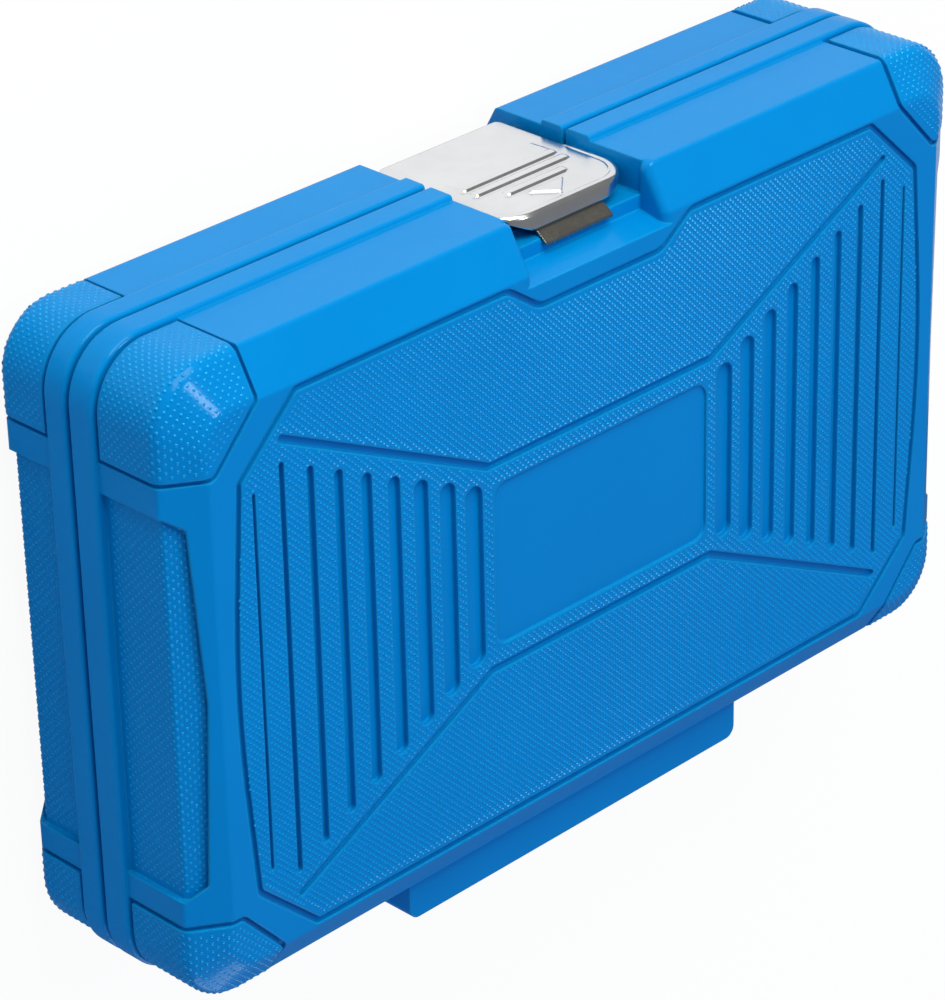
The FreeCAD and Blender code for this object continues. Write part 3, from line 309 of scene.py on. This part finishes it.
def case_plastic(name):
    """Saturated blue moulding, semi-gloss, slightly mottled, with a fine moulded grain, and a
    painted
    highlight along its edges: paler colour where the rounded normal turns away from the plain one."""
    material, shader, wire = new_material(name, specular=0.05, sheen=BLUE_SHEEN, coat=0.16)
    colour = noise(wire, BLUE_MOTTLE).mix(*CASE_BLUE)
    rounded = soft_edges(wire, CASE_EDGE)
    plain = wire.make("ShaderNodeNewGeometry", {}, {}, "Normal")
    flat = wire.make("ShaderNodeVectorMath", {"operation": "DOT_PRODUCT"},
                     {0: rounded, 1: plain}, "Value")
    # Painted highlight: the base colour turns paler where the rounded normal leaves the plain one,
    # on convex and hollow edges alike
    edge = ((1 - flat) * EDGE_HIGHLIGHT_GAIN).math("MINIMUM", 1.0)
    link((edge * EDGE_HIGHLIGHT_SHARE).mix(colour, EDGE_HIGHLIGHT_BLUE), shader.inputs["Base Color"])
    link(uneven(wire, scale=160.0, low=0.29, spread=0.14), shader.inputs["Roughness"])
    grain = noise(wire, scale=2600.0, detail=1.0)
    bump = wire.make("ShaderNodeBump", {}, {"Strength": 0.10, "Distance": 0.0002,
                                            "Height": grain, "Normal": rounded})
    link(bump, shader.inputs["Normal"])
    return material


def dot_plastic(name):
    """The same blue on the small moulded dots, glossier, with a paler colour that is a painted
    highlight.
    """
    material, shader, wire = new_material(name, roughness=0.15, specular=0.75, sheen=BLUE_SHEEN)
    link(noise(wire, BLUE_MOTTLE).mix(*DOT_HIGHLIT_BLUE), shader.inputs["Base Color"])
    return material


def bright_plate(name):
    """Plated latch: bright metal with soft smears."""
    material, shader, wire = new_material(name, metallic=1.0)
    link(noise(wire, scale=90.0).mix(*LATCH_BRIGHT), shader.inputs["Base Color"])
    link(uneven(wire, scale=240.0, low=0.13, spread=0.14), shader.inputs["Roughness"])
    return material


def plain_steel(name, tone, rough):
    """Steel or satin plating with a slightly uneven sheen."""
    material, shader, wire = new_material(name, metallic=1.0)
    dark = tuple(STEEL_DARK * c for c in tone) + (1,)
    link(noise(wire, scale=120.0).mix(dark, tone + (1,)), shader.inputs["Base Color"])
    link(uneven(wire, scale=400.0, low=rough, spread=0.12), shader.inputs["Roughness"])
    link(soft_edges(wire, STEEL_EDGE), shader.inputs["Normal"])
    return material


def black_grip(name):
    """Dark moulded grip."""
    material, shader, wire = new_material(name)
    link(noise(wire, scale=60.0).mix(*GRIP_BLACK), shader.inputs["Base Color"])
    link(uneven(wire, scale=300.0, low=0.38, spread=0.15), shader.inputs["Roughness"])
    return material


def new_piece(name, points, faces, material, body, smooth=True):
    """Mesh piece from points in millimetres, riding on a body."""
    mesh = bpy.data.meshes.new(name)
    mesh.from_pydata((points * MM).tolist(), [], faces.tolist())
    mesh.polygons.foreach_set("use_smooth", np.full(len(mesh.polygons), smooth))
    mesh.update()
    piece = bpy.data.objects.new(name, mesh)
    bpy.context.scene.collection.objects.link(piece)
    mesh.materials.append(material)
    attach(piece, body)
    return piece


def frames_on(normals):
    """Two unit vectors across each normal: cross products with x, or with y where x is near it."""
    free = np.abs(normals[:, :1]) < NEAR_AXIS
    helper = np.where(free, np.array([[1.0, 0, 0]]), np.array([[0, 1.0, 0]]))
    first = np.cross(normals, helper)
    first /= np.linalg.norm(first, axis=1, keepdims=True)
    return first, np.cross(normals, first)


def dome_field(centres, normals):
    """Low domes: a slightly sunk ring of the dot's radius, a smaller ring at its shoulder, and a
    crown at the dot's height along the normal."""
    angle = 2 * np.pi * np.arange(DOT_SIDES) / DOT_SIDES
    across, along = frames_on(normals)
    ring = np.cos(angle)[None, :, None] * across[:, None]
    ring = ring + np.sin(angle)[None, :, None] * along[:, None]
    wide, high = DOT_SHOULDER
    base = centres[:, None] + DOT_R * ring - DOT_SINK * normals[:, None]
    upper = centres[:, None] + wide * DOT_R * ring + high * DOT_H * normals[:, None]
    crown = centres[:, None] + DOT_H * normals[:, None]
    points = np.concatenate([base, upper, crown], axis=1)
    i = np.arange(DOT_SIDES)
    j = (i + 1) % DOT_SIDES
    up_i, up_j = i + DOT_SIDES, j + DOT_SIDES
    low = np.stack([i, j, up_j, i, up_j, up_i], axis=1).reshape(-1, 3)
    top = np.stack([up_i, up_j, np.full(DOT_SIDES, 2 * DOT_SIDES)], axis=1)
    return points.reshape(-1, 3), repeated(np.concatenate([low, top]), points.shape)


def repeated(template, shape):
    """Faces of many like shapes: the template's numbers, moved on by the points of each shape."""
    count, size = shape[:2]
    return (template[None] + size * np.arange(count)[:, None, None]).reshape(-1, 3)


def staggered(low_u, high_u, low_v, high_v):
    """Grid of dots with every other row moved by half a pitch."""
    columns, rows = np.arange(low_u, high_u, DOT_PITCH), np.arange(low_v, high_v, DOT_ROW)
    u, v = np.meshgrid(columns, rows, indexing="ij")
    odd = np.round((v - low_v) / DOT_ROW).astype(int) % 2
    return (u + 0.5 * DOT_PITCH * odd).ravel(), v.ravel()


def corner_path(s, half, front, radius, start):
    """Plan point and outward normal at arc length s along a corner: straight, quarter circle,
    straight."""
    first, arc = half - radius - start, radius * np.pi / 2
    b = np.clip((s - first) / radius, 0, np.pi / 2)
    x = start + np.clip(s, 0, first) + radius * np.sin(b)
    y = front + radius * (1 - np.cos(b)) + np.clip(s - first - arc, 0, None)
    return x, y, np.sin(b), -np.cos(b)


def rounded_box(x, y, half, front, radius):
    """Signed distance from the corner of a rounded rectangle, negative inside."""
    px, py = x - (half - radius), (front + radius) - y
    outside = np.hypot(np.maximum(px, 0), np.maximum(py, 0))
    return outside + np.minimum(np.maximum(px, py), 0) - radius


def chamfer_share(x, y, wall, edge):
    """Share of the way from the wall outline to the face outline, found by halving."""
    low, high = np.zeros_like(x), np.ones_like(x)
    for _ in range(HALVINGS):
        t = 0.5 * (low + high)
        half, front, radius = (a + t * (b - a) for a, b in zip(wall, edge))
        inside = rounded_box(x, y, half, front, radius) < 0
        low, high = np.where(inside, t, low), np.where(inside, high, t)
    return low


def eased(distance, reach):
    """Drop below a sharp edge where it is rounded: a parabola over the reach on each side."""
    return np.clip(reach - distance, 0, None) ** 2 / (2 * BUMPER_EDGE_R)


def bumper_top(x, y, wall, edge, knee):
    """Height of a bumper's face and chamfer over plan points, both edges eased."""
    share = chamfer_share(x, y, wall, edge)
    slope = np.hypot(knee, wall[0] - edge[0])
    from_edge = np.where(share < FULL_SHARE, (1 - share) * slope, -rounded_box(x, y, *edge))
    drop = eased(share * slope, KNEE_REACH) + eased(from_edge, TOP_REACH)
    return HEIGHT - knee * (1 - share) - drop * slope / (wall[0] - edge[0])


def bumper_wall_dots(rim, wall, knee, start):
    """Dots on a bumper's walls: rows below the knee along the corner's path, drawn in and tilted
    where the knee is eased."""
    s, v = staggered(PATH_FIRST, PATH_LAST, WALL_ROW, rim - knee - BUMPER_MARGIN)
    x, y, nx, ny = corner_path(s, *wall, start)
    inward = eased(v, KNEE_REACH)
    tilt = np.clip(KNEE_REACH - v, 0, None) / BUMPER_EDGE_R
    centres = np.column_stack([x - inward * nx, y - inward * ny, HEIGHT - knee - v])
    return centres, np.column_stack([nx, ny, tilt])


def bumper_top_dots(wall, edge, knee):
    """Dots on a bumper's chamfer and face: a staggered grid in plan at the surface's height, with
    normals from its slopes."""
    u, v = staggered(-GRID_HALF, GRID_HALF, -GRID_HALF, GRID_HALF)
    x, y = wall[0] - GRID_IN + u, wall[1] + GRID_IN + v
    over = rounded_box(x, y, *wall) < -GRID_CLEAR
    x, y = x[over], y[over]
    form = (wall, edge, knee)
    centres = np.column_stack([x, y, bumper_top(x, y, *form)])
    rise_x = bumper_top(x + SLOPE_STEP, y, *form) - bumper_top(x - SLOPE_STEP, y, *form)
    rise_y = bumper_top(x, y + SLOPE_STEP, *form) - bumper_top(x, y - SLOPE_STEP, *form)
    return centres, np.column_stack([-rise_x, -rise_y, np.full(len(x), 2 * SLOPE_STEP)])


def turn_to_half(centres, normals, lid):
    """The base's form is the lid's, mirrored top to bottom."""
    if lid:
        return centres, normals
    return centres * (1, 1, -1) + (0, 0, HEIGHT), normals * (1, 1, -1)


def bumper_dots(rim, lid):
    """Dots on the four bumpers of one half, kept a margin inside each bumper's straight and
    slanted sides. Each corner is worked out as the front right one and then mirrored."""
    centres, normals = [], []
    knee = CHAMFER_H - KNEE_SHIFT * BUMPER_OUT
    edge_out = FLUSH_SHIFT * BUMPER_OUT
    for mirror, sign in ((-1, 1), (1, 1), (-1, -1), (1, -1)):
        start, slant_x, stop = FRONT_BUMPER if sign > 0 else REAR_BUMPER
        front = WALL_FRONT if sign > 0 else -WALL_REAR
        face_front = FACE_FRONT if sign > 0 else -FACE_REAR
        stop = sign * stop
        wall = (WALL_X + BUMPER_OUT, front - BUMPER_OUT, CORNER_R + BUMPER_OUT)
        edge = (FACE_X + edge_out, face_front - edge_out, FACE_CORNER_R)
        side, side_normal = bumper_wall_dots(rim, wall, knee, start)
        top, top_normal = bumper_top_dots(wall, edge, knee)
        here = np.concatenate([side, top])
        normal = np.concatenate([side_normal, top_normal])
        normal /= np.linalg.norm(normal, axis=1, keepdims=True)
        x, y = here[:, 0], here[:, 1]
        slant = np.array([slant_x - start, stop - face_front])
        across = np.array([slant[1], -slant[0]]) / np.hypot(*slant)
        inside = (x - start > BUMPER_MARGIN) & (stop - y > BUMPER_MARGIN)
        inside &= (x - start) * across[0] + (y - face_front) * across[1] > BUMPER_MARGIN
        flip = np.array([mirror, sign, 1.0])
        centres.append(here[inside] * flip)
        normals.append(normal[inside] * flip)
    return turn_to_half(np.concatenate(centres), np.concatenate(normals), lid)


def end_dots(rim, lid):
    """Dots on the sunk end panels: a flat wall up to the knee, then the flat chamfer above it."""
    knee = CHAMFER_H + KNEE_SHIFT * END_DEPTH
    wall_x = WALL_X - END_DEPTH
    edge_x = FACE_X - FACE_SHIFT * END_DEPTH
    rise = knee - END_DEPTH
    slope = np.hypot(rise, wall_x - edge_x)
    y, v = staggered(END_FRONT + END_MARGIN, END_REAR - END_MARGIN,
                     0.0, slope + rim - knee - END_MARGIN)
    on_chamfer = v < slope
    t = np.clip(1 - v / slope, 0, 1)
    x = wall_x + t * (edge_x - wall_x)
    depth = np.where(on_chamfer, END_DEPTH + rise * v / slope, knee + v - slope)
    middle = 0.5 * (END_FRONT + END_REAR)
    half = 0.5 * (END_REAR - END_FRONT)
    off = np.abs(y - middle)
    bowed = END_EDGE + END_BOW * off / half + END_MARGIN
    limit = np.maximum(bowed, END_CUT - (half - off) * END_CUT_SLOPE)
    keep = (depth > limit) & (y < END_REAR - END_MARGIN)
    chamfer_normal = np.array([[rise, 0, wall_x - edge_x]]) / slope
    normal = np.where(on_chamfer[:, None], chamfer_normal, np.array([[1.0, 0, 0]]))[keep]
    here = np.column_stack([x, y, HEIGHT - depth])[keep]
    sides = np.array([[1.0, 1, 1], [-1.0, 1, 1]])
    centres = (here[None] * sides[:, None]).reshape(-1, 3)
    normals = (normal[None] * sides[:, None]).reshape(-1, 3)
    return turn_to_half(centres, normals, lid)


def from_segment(x, y, a, b):
    """Distance of points from a straight segment."""
    d = np.subtract(b, a)
    t = np.clip(((x - a[0]) * d[0] + (y - a[1]) * d[1]) / d.dot(d), 0, 1)
    return np.hypot(x - a[0] - t * d[0], y - a[1] - t * d[1])


def in_panel(x, y):
    """Points a margin inside the panel's outline: straight long sides, cut corners, ends that
    bulge as a parabola, and a notch with slanted ends."""
    ax, ay = np.abs(x), np.abs(y)
    cut = (PANEL_SIDE_X - PANEL_CORNER_X, PANEL_HALF - PANEL_SIDE_HALF)
    across = np.array([cut[1], cut[0]]) / np.hypot(*cut)
    inside = ay < PANEL_HALF - PANEL_MARGIN
    beyond = (ax - PANEL_CORNER_X) * across[0] + (ay - PANEL_HALF) * across[1]
    inside &= beyond < -PANEL_MARGIN
    bulge = PANEL_BULGE_X - (PANEL_BULGE_X - PANEL_SIDE_X) * (ay / PANEL_SIDE_HALF) ** 2
    inside &= ax < bulge - PANEL_MARGIN
    notch = NOTCH_Y - PANEL_Y + PANEL_MARGIN
    return inside & ((y > notch) | (y > notch - (ax - NOTCH_X + NOTCH_RAMP) * NOTCH_SLOPE))


def off_grooves(x, y):
    """Points clear of the two bows, the slots at both ends and the plate in the middle."""
    ax, ay = np.abs(x), np.abs(y)
    clear = (ax > PLATE_HALF[0] + SLOT_MARGIN) | (ay > PLATE_HALF[1] + SLOT_MARGIN)
    for side in (-1, 1):
        ends = [(-BOW_END[0], side * BOW_END[1]), (-BOW_IN[0], side * BOW_IN[1]),
                (BOW_IN[0], side * BOW_IN[1]), (BOW_END[0], side * BOW_END[1])]
        for a, b in zip(ends, ends[1:]):
            clear &= from_segment(x, y, a, b) > BOW_MARGIN
    for k in range(SLOTS):
        slot_x = SLOT_OUT_X - SLOT_PITCH * k
        width = SLOT_OUT_W + SLOT_W_STEP * k
        half = SLOT_IN_HALF + SLOT_SLOPE * (slot_x - BOW_IN[0]) if k else SLOT_OUT_HALF
        reach = half - width / 2
        gap = from_segment(ax, y, (slot_x, -reach), (slot_x, reach))
        clear &= gap > width / 2 + SLOT_MARGIN
    return clear


def panel_pimples():
    """Low pyramids on a diagonal grid over the panel, clear of its groove and what it holds."""
    steps = np.arange(-PIMPLE_REACH, PIMPLE_REACH, PIMPLE_PITCH)
    i, j = np.meshgrid(steps, steps)
    x = ((i + j) / np.sqrt(2)).ravel()
    y = ((i - j) / np.sqrt(2)).ravel()
    keep = in_panel(x, y) & off_grooves(x, y)
    x, y = x[keep], y[keep] + PANEL_Y
    ring = np.array([[1, 0, 0], [0, 1, 0], [-1, 0, 0], [0, -1, 0], [0, 0, 0]]) * PIMPLE_HALF
    lift = np.array([[0, 0, -PIMPLE_SINK]] * 4 + [[0, 0, PIMPLE_H]])
    at = np.column_stack([x, y, np.full(len(x), HEIGHT)])
    points = at[:, None] + (ring + lift)[None]
    template = np.array([[0, 1, 4], [1, 2, 4], [2, 3, 4], [3, 0, 4]])
    return points.reshape(-1, 3), repeated(template, points.shape)


def smooth_step(low, high, value):
    """Cubic step from 0 to 1."""
    t = np.clip((value - low) / (high - low), 0, 1)
    return t * t * (3 - 2 * t)


def latch_relief(x, z):
    """Height of the stamping: flat-topped ribs with round ends, a ramp up to the lowest rib, an
    arrow, and a bell-shaped crease at a set distance inside the rounded front rim."""
    height = np.zeros_like(x)
    for at, half in RIBS:
        distance = np.hypot(np.maximum(np.abs(x) - half + RIB_W, 0), z - at)
        rib = 1 - smooth_step(RIB_W - RIB_SIDE, RIB_W + RIB_SIDE, distance)
        height = np.maximum(height, RIB_H * rib)
    first, wide = RIBS[0]
    ramp = np.clip((z - RAMP_Z) / (first - RAMP_Z), 0, 1) * (z < first)
    ramp *= 1 - smooth_step(wide - RIB_SIDE, wide + RIB_SIDE, np.abs(x))
    height = np.maximum(height, RIB_H * ramp)
    slope = np.hypot(ARROW_X, ARROW_TIP - ARROW_Z)
    side = ((ARROW_TIP - z) * ARROW_X - np.abs(x) * (ARROW_TIP - ARROW_Z)) / slope
    arrow = smooth_step(-RIB_SIDE, RIB_SIDE, np.minimum(side, z - ARROW_Z))
    height = np.maximum(height, RIB_H * arrow)
    rim = rounded_box(np.abs(x), -z, LATCH_TOP_X - LATCH_BEND, LATCH_BEND - LATCH_TOP,
                      LATCH_CORNER - LATCH_BEND)
    crease = np.exp(-((rim + CREASE_IN) / CREASE_W) ** 2)
    fade = smooth_step(LATCH_SHOULDER, LATCH_SHOULDER + CREASE_FADE, z)
    return height - CREASE_D * crease * fade


def latch_edges(columns, rows):
    """Side and front edges of the sheet's flat: straight sides that widen at the shoulder, small
    lower corners, and round front corners, half on the side edge and half on the front edge."""
    radius = LATCH_CORNER - LATCH_BEND
    centre_x, centre_z = LATCH_TOP_X - LATCH_CORNER, LATCH_TOP - LATCH_CORNER
    straight = centre_z - LATCH_LOW
    arc = radius * np.pi / 4
    along = np.linspace(0, 1, rows) * (straight + arc)
    angle = np.clip((along - straight) / radius, 0, None)
    widen = smooth_step(LATCH_SHOULDER - SHOULDER_EASE, LATCH_SHOULDER + SHOULDER_EASE,
                        LATCH_LOW + along)
    wide = LATCH_LOW_X + (LATCH_TOP_X - LATCH_BEND - LATCH_LOW_X) * widen
    low = np.clip(LATCH_LOW_R - along, 0, LATCH_LOW_R)
    low_round = LATCH_LOW_R - np.sqrt(LATCH_LOW_R ** 2 - low ** 2)
    side_x = wide - radius * (1 - np.cos(angle)) - low_round
    side_z = LATCH_LOW + np.minimum(along, straight) + radius * np.sin(angle)
    reach = np.linspace(-1, 1, columns) * (centre_x + arc)
    turn = np.clip(np.abs(reach) - centre_x, 0, None) / radius
    front_x = np.sign(reach) * (np.minimum(np.abs(reach), centre_x) + radius * np.sin(turn))
    front_z = centre_z + radius * np.cos(turn)
    return side_x, side_z, front_x, front_z


def latch_flat():
    """Flat of the sheet, blended between its four edges (a Coons patch: sides plus ends less
    corners) and raised by the relief, and the first row above the shoulder."""
    columns, rows = LATCH_GRID
    side_x, side_z, front_x, front_z = latch_edges(columns, rows)
    u, v = np.meshgrid(np.linspace(0, 1, columns), np.linspace(0, 1, rows))
    low_x = np.linspace(-side_x[0], side_x[0], columns)
    corners_x = (2 * u - 1) * (side_x[0] * (1 - v) + side_x[-1] * v)
    corners_z = LATCH_LOW * (1 - v) + side_z[-1] * v
    x = (2 * u - 1) * side_x[:, None] + (1 - v) * low_x + v * front_x - corners_x
    z = side_z[:, None] + (1 - v) * LATCH_LOW + v * front_z - corners_z
    flat = np.stack([x, LATCH_OUT_Y - latch_relief(x, z), z], axis=-1)
    return flat, np.argmax(side_z > LATCH_SHOULDER + SHOULDER_EASE)


def latch_lip(rim):
    """Strip carried along the flat's rim: a quarter bend, then a straight lip that is long at the
    front and fades out round the corners."""
    way = np.gradient(rim, axis=0)
    way /= np.linalg.norm(way, axis=1, keepdims=True)
    out = np.stack([-way[:, 2], np.zeros(len(way)), way[:, 0]], axis=1)
    turn = np.linspace(0, np.pi / 2, BEND_STEPS)
    fade = smooth_step(LATCH_LIP_X - LIP_FADE, LATCH_LIP_X + LIP_FADE, np.abs(rim[:, 0]))
    drop = (LATCH_LIP - LATCH_BEND) * (1 - fade)
    straight = np.full(LIP_STEPS, LATCH_BEND)
    outward = np.concatenate([LATCH_BEND * np.sin(turn), straight])
    fall = np.concatenate([LATCH_BEND * (1 - np.cos(turn)), straight])
    more = np.concatenate([np.zeros(BEND_STEPS), np.linspace(0, 1, LIP_STEPS + 1)[1:]])
    strip = rim[:, None] + outward[None, :, None] * out[:, None]
    strip[..., 1] += fall[None] + more[None] * (drop[:, None] + LIP_LEAST)
    return strip


def grid_faces(sheet, start):
    """Quads between neighbours on a grid of points, numbered from a start."""
    shape = sheet.shape[:2]
    index = np.arange(shape[0] * shape[1]).reshape(shape) + start
    corners = [index[:-1, :-1], index[:-1, 1:], index[1:, 1:], index[1:, :-1]]
    return np.stack(corners, axis=-1).reshape(-1, 4)


def join_seams(piece):
    """Merge doubled points and turn all faces the same way, outwards of the latch."""
    work = bmesh.new()
    work.from_mesh(piece.data)
    bmesh.ops.remove_doubles(work, verts=work.verts, dist=MERGE)
    bmesh.ops.recalc_face_normals(work, faces=work.faces)
    work.faces.ensure_lookup_table()
    if work.faces[0].normal.y > 0:
        bmesh.ops.reverse_faces(work, faces=work.faces)
    work.to_mesh(piece.data)
    work.free()


def latch_sheet(material):
    """Stamped latch: the flat and the lip along its rim, joined, with a wall behind them."""
    flat, first = latch_flat()
    rim = np.concatenate([flat[first:, 0], flat[-1, 1:-1], flat[first:, -1][::-1]])
    strip = latch_lip(rim)
    flat_points, strip_points = flat.reshape(-1, 3), strip.reshape(-1, 3)
    points = np.concatenate([flat_points, strip_points])
    faces = np.concatenate([grid_faces(flat, 0), grid_faces(strip, len(flat_points))])
    plate = new_piece("latch_sheet", points, faces, material, "latch")
    join_seams(plate)
    wall = plate.modifiers.new("wall", "SOLIDIFY")
    wall.thickness = LATCH_T * MM
    wall.offset = -1
    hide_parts("latch_plate")


def latch_ear(material, x, name):
    """Ring on the latch pin, slightly flattened where it meets the sheet: an outer and an inner
    circle at both ends, joined into a closed wall."""
    angle = 2 * np.pi * np.arange(EAR_SIDES) / EAR_SIDES
    circle = np.stack([np.cos(angle), np.sin(angle)], axis=1)
    outer = circle * EAR_R
    outer[circle[:, 0] < 0, 0] *= EAR_FLAT
    inner = circle * EAR_HOLE
    ends = ((x, outer), (x + EAR_T, outer), (x + EAR_T, inner), (x, inner))
    points = np.concatenate([np.column_stack([np.full(EAR_SIDES, at), ring + LATCH_PIN])
                             for at, ring in ends])
    i = np.arange(EAR_SIDES)
    j = (i + 1) % EAR_SIDES
    starts = EAR_SIDES * np.arange(len(ends))
    faces = np.concatenate([np.stack([a + i, a + j, b + j, b + i], axis=1)
                            for a, b in zip(starts, np.roll(starts, -1))])
    new_piece(name, points, faces, material, "latch", smooth=False)


def dress_nodes(finishes):
    """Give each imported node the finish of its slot."""
    slots = {part["node"]: part["material_slot"] for part in frame["record"]["subparts"]}
    for name, node in frame["nodes"].items():
        node.data.materials.clear()
        node.data.materials.append(finishes[slots[name]])


def build_pieces(finishes):
    """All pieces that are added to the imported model."""
    dots, bright = finishes["dots"], finishes["latch_chrome"]
    for lid, rim, body in ((True, LID_RIM, "lid"), (False, BASE_RIM, "base")):
        points, faces = dome_field(*bumper_dots(rim, lid))
        new_piece(body + "_bumper_dots", points, faces, dots, body)
        points, faces = dome_field(*end_dots(rim, lid))
        new_piece(body + "_end_dots", points, faces, dots, body)
    points, faces = panel_pimples()
    new_piece("panel_pimples", points, faces, dots, "lid", smooth=False)
    latch_sheet(bright)
    latch_ear(bright, -EAR_X, "latch_ear_left")
    latch_ear(bright, EAR_X - EAR_T, "latch_ear_right")


def ray_kinds(wire):
    """Whether a ray comes from the camera, a reflection or a clear surface, each 0 or 1."""
    names = ("Is Camera Ray", "Is Glossy Ray", "Is Transmission Ray")
    return [wire.make("ShaderNodeLightPath", {}, {}, name) for name in names]


def floor_tone(wire, glossy):
    """White, but with painted shade for reflections: dim beyond the case's end and beyond the
    hinge, with steep ramps.
    """
    place = wire.make("ShaderNodeTexCoord", {}, {}, "Object")
    x, y = [wire.make("ShaderNodeSeparateXYZ", {}, {0: place}, axis) for axis in (0, 1)]
    end, front, hinge = [
        ((value - edge) * DIM_RAMP).math("MAXIMUM", 0.0).math("MINIMUM", 1.0)
        for value, edge in ((x, DIM_END_X), (y, DIM_END_Y), (y, DIM_HINGE_Y))]
    # Painted shade: where dim is 1, reflected rays see the floor darkened to the shade tone
    dim = (end * front).math("MAXIMUM", hinge)
    return (dim * glossy).mix(WHITE, REFLECTED_SHADE_TONE)


def paper_floor():
    """Pale floor: nearly white to the camera and to reflections, with a faint shadow from the
    plain paper that is mixed in."""
    half = FLOOR_HALF
    mesh = bpy.data.meshes.new("floor")
    corners = [(-half, -half, 0), (half, -half, 0), (half, half, 0), (-half, half, 0)]
    mesh.from_pydata(corners, [], [(0, 1, 2, 3)])
    floor = bpy.data.objects.new("floor", mesh)
    bpy.context.scene.collection.objects.link(floor)
    material = bpy.data.materials.new("paper")
    material.use_nodes = True
    tree = material.node_tree
    tree.nodes.clear()
    wire = Wire(tree)
    camera, glossy, through = ray_kinds(wire)
    tone = floor_tone(wire, glossy)
    white = wire.make("ShaderNodeEmission", {}, {"Color": tone, "Strength": 1.0})
    paper = wire.make("ShaderNodeBsdfDiffuse", {}, {"Color": PAPER})
    share = camera.math("MAXIMUM", glossy).math("MAXIMUM", through) * FLOOR_WHITE
    both = wire.make("ShaderNodeMixShader", {}, {0: share, 1: paper, 2: white})
    link(both, tree.nodes.new("ShaderNodeOutputMaterial").inputs["Surface"])
    mesh.materials.append(material)


def placed(right, up, back, at):
    """Matrix of three axes and a place."""
    rows = np.column_stack([right, up, back, at])
    return Matrix(rows.tolist() + [[0, 0, 0, 1]])


def aim(at, target):
    """Matrix that puts a lamp at a place with its beam on a target, its sides level."""
    back = np.subtract(at, target).astype(float)
    back /= np.linalg.norm(back)
    right = np.cross((0.0, 0.0, 1.0), back)
    right /= np.linalg.norm(right)
    return placed(right, np.cross(back, right), back, at)


def soft_lamp(name, at, size, power, tint):
    """Square area lamp turned to the case."""
    lamp = bpy.data.lights.new(name, "AREA")
    lamp.shape = "SQUARE"
    lamp.size = size
    lamp.energy = power
    lamp.color = tint
    shown = bpy.data.objects.new(name, lamp)
    shown.matrix_world = aim(at, LAMPS_ON)
    bpy.context.scene.collection.objects.link(shown)


def pale_room():
    """Surroundings: white to the camera and through clear pieces, dim white in reflections, and
    a soft tinted light on surfaces."""
    world = bpy.data.worlds.new("room")
    bpy.context.scene.world = world
    world.use_nodes = True
    background = world.node_tree.nodes["Background"]
    wire = Wire(world.node_tree)
    camera, glossy, through = ray_kinds(wire)
    clear = camera.math("MAXIMUM", through)
    tint = clear.math("MAXIMUM", glossy).mix(ROOM_TINT, WHITE)
    link(tint, background.inputs["Color"])
    strength = ROOM_LIGHT + clear * (1 - ROOM_LIGHT) - glossy * (ROOM_LIGHT - ROOM_SHEEN)
    link(strength, background.inputs["Strength"])


def light_case():
    """Soft key over the latch side, small fill over the lid, low bounce from the hinge side, and
    the pale room."""
    for lamp in LAMPS:
        soft_lamp(*lamp)
    pale_room()


def photo_camera():
    """Camera of the photograph; it leans, because the case is stood on end there."""
    data = bpy.data.cameras.new("photo")
    data.lens = LENS
    data.sensor_width = SENSOR
    camera = bpy.data.objects.new("photo", data)
    camera.matrix_world = placed(CAMERA_RIGHT, CAMERA_UP, CAMERA_BACK, CAMERA_AT)
    bpy.context.scene.collection.objects.link(camera)
    bpy.context.scene.camera = camera


def make_finishes():
    """One finish per slot of the record, and one for the moulded dots."""
    return {"case_plastic": case_plastic("case_blue"),
            "dots": dot_plastic("dot_blue_painted_highlight"),
            "latch_chrome": bright_plate("latch_bright"),
            "keeper_steel": plain_steel("keeper_steel", tone=(0.32, 0.31, 0.29), rough=0.20),
            "pin_steel": plain_steel("pin_steel", tone=(0.55, 0.55, 0.56), rough=0.25),
            "tool_chrome": plain_steel("tool_chrome", tone=(0.72, 0.73, 0.74), rough=0.14),
            "grip_plastic": black_grip("grip_black")}


def main():
    """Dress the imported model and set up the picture."""
    bpy.context.scene.view_settings.view_transform = "Standard"
    finishes = make_finishes()
    dress_nodes(finishes)
    build_pieces(finishes)
    paper_floor()
    light_case()
    photo_camera()


main()
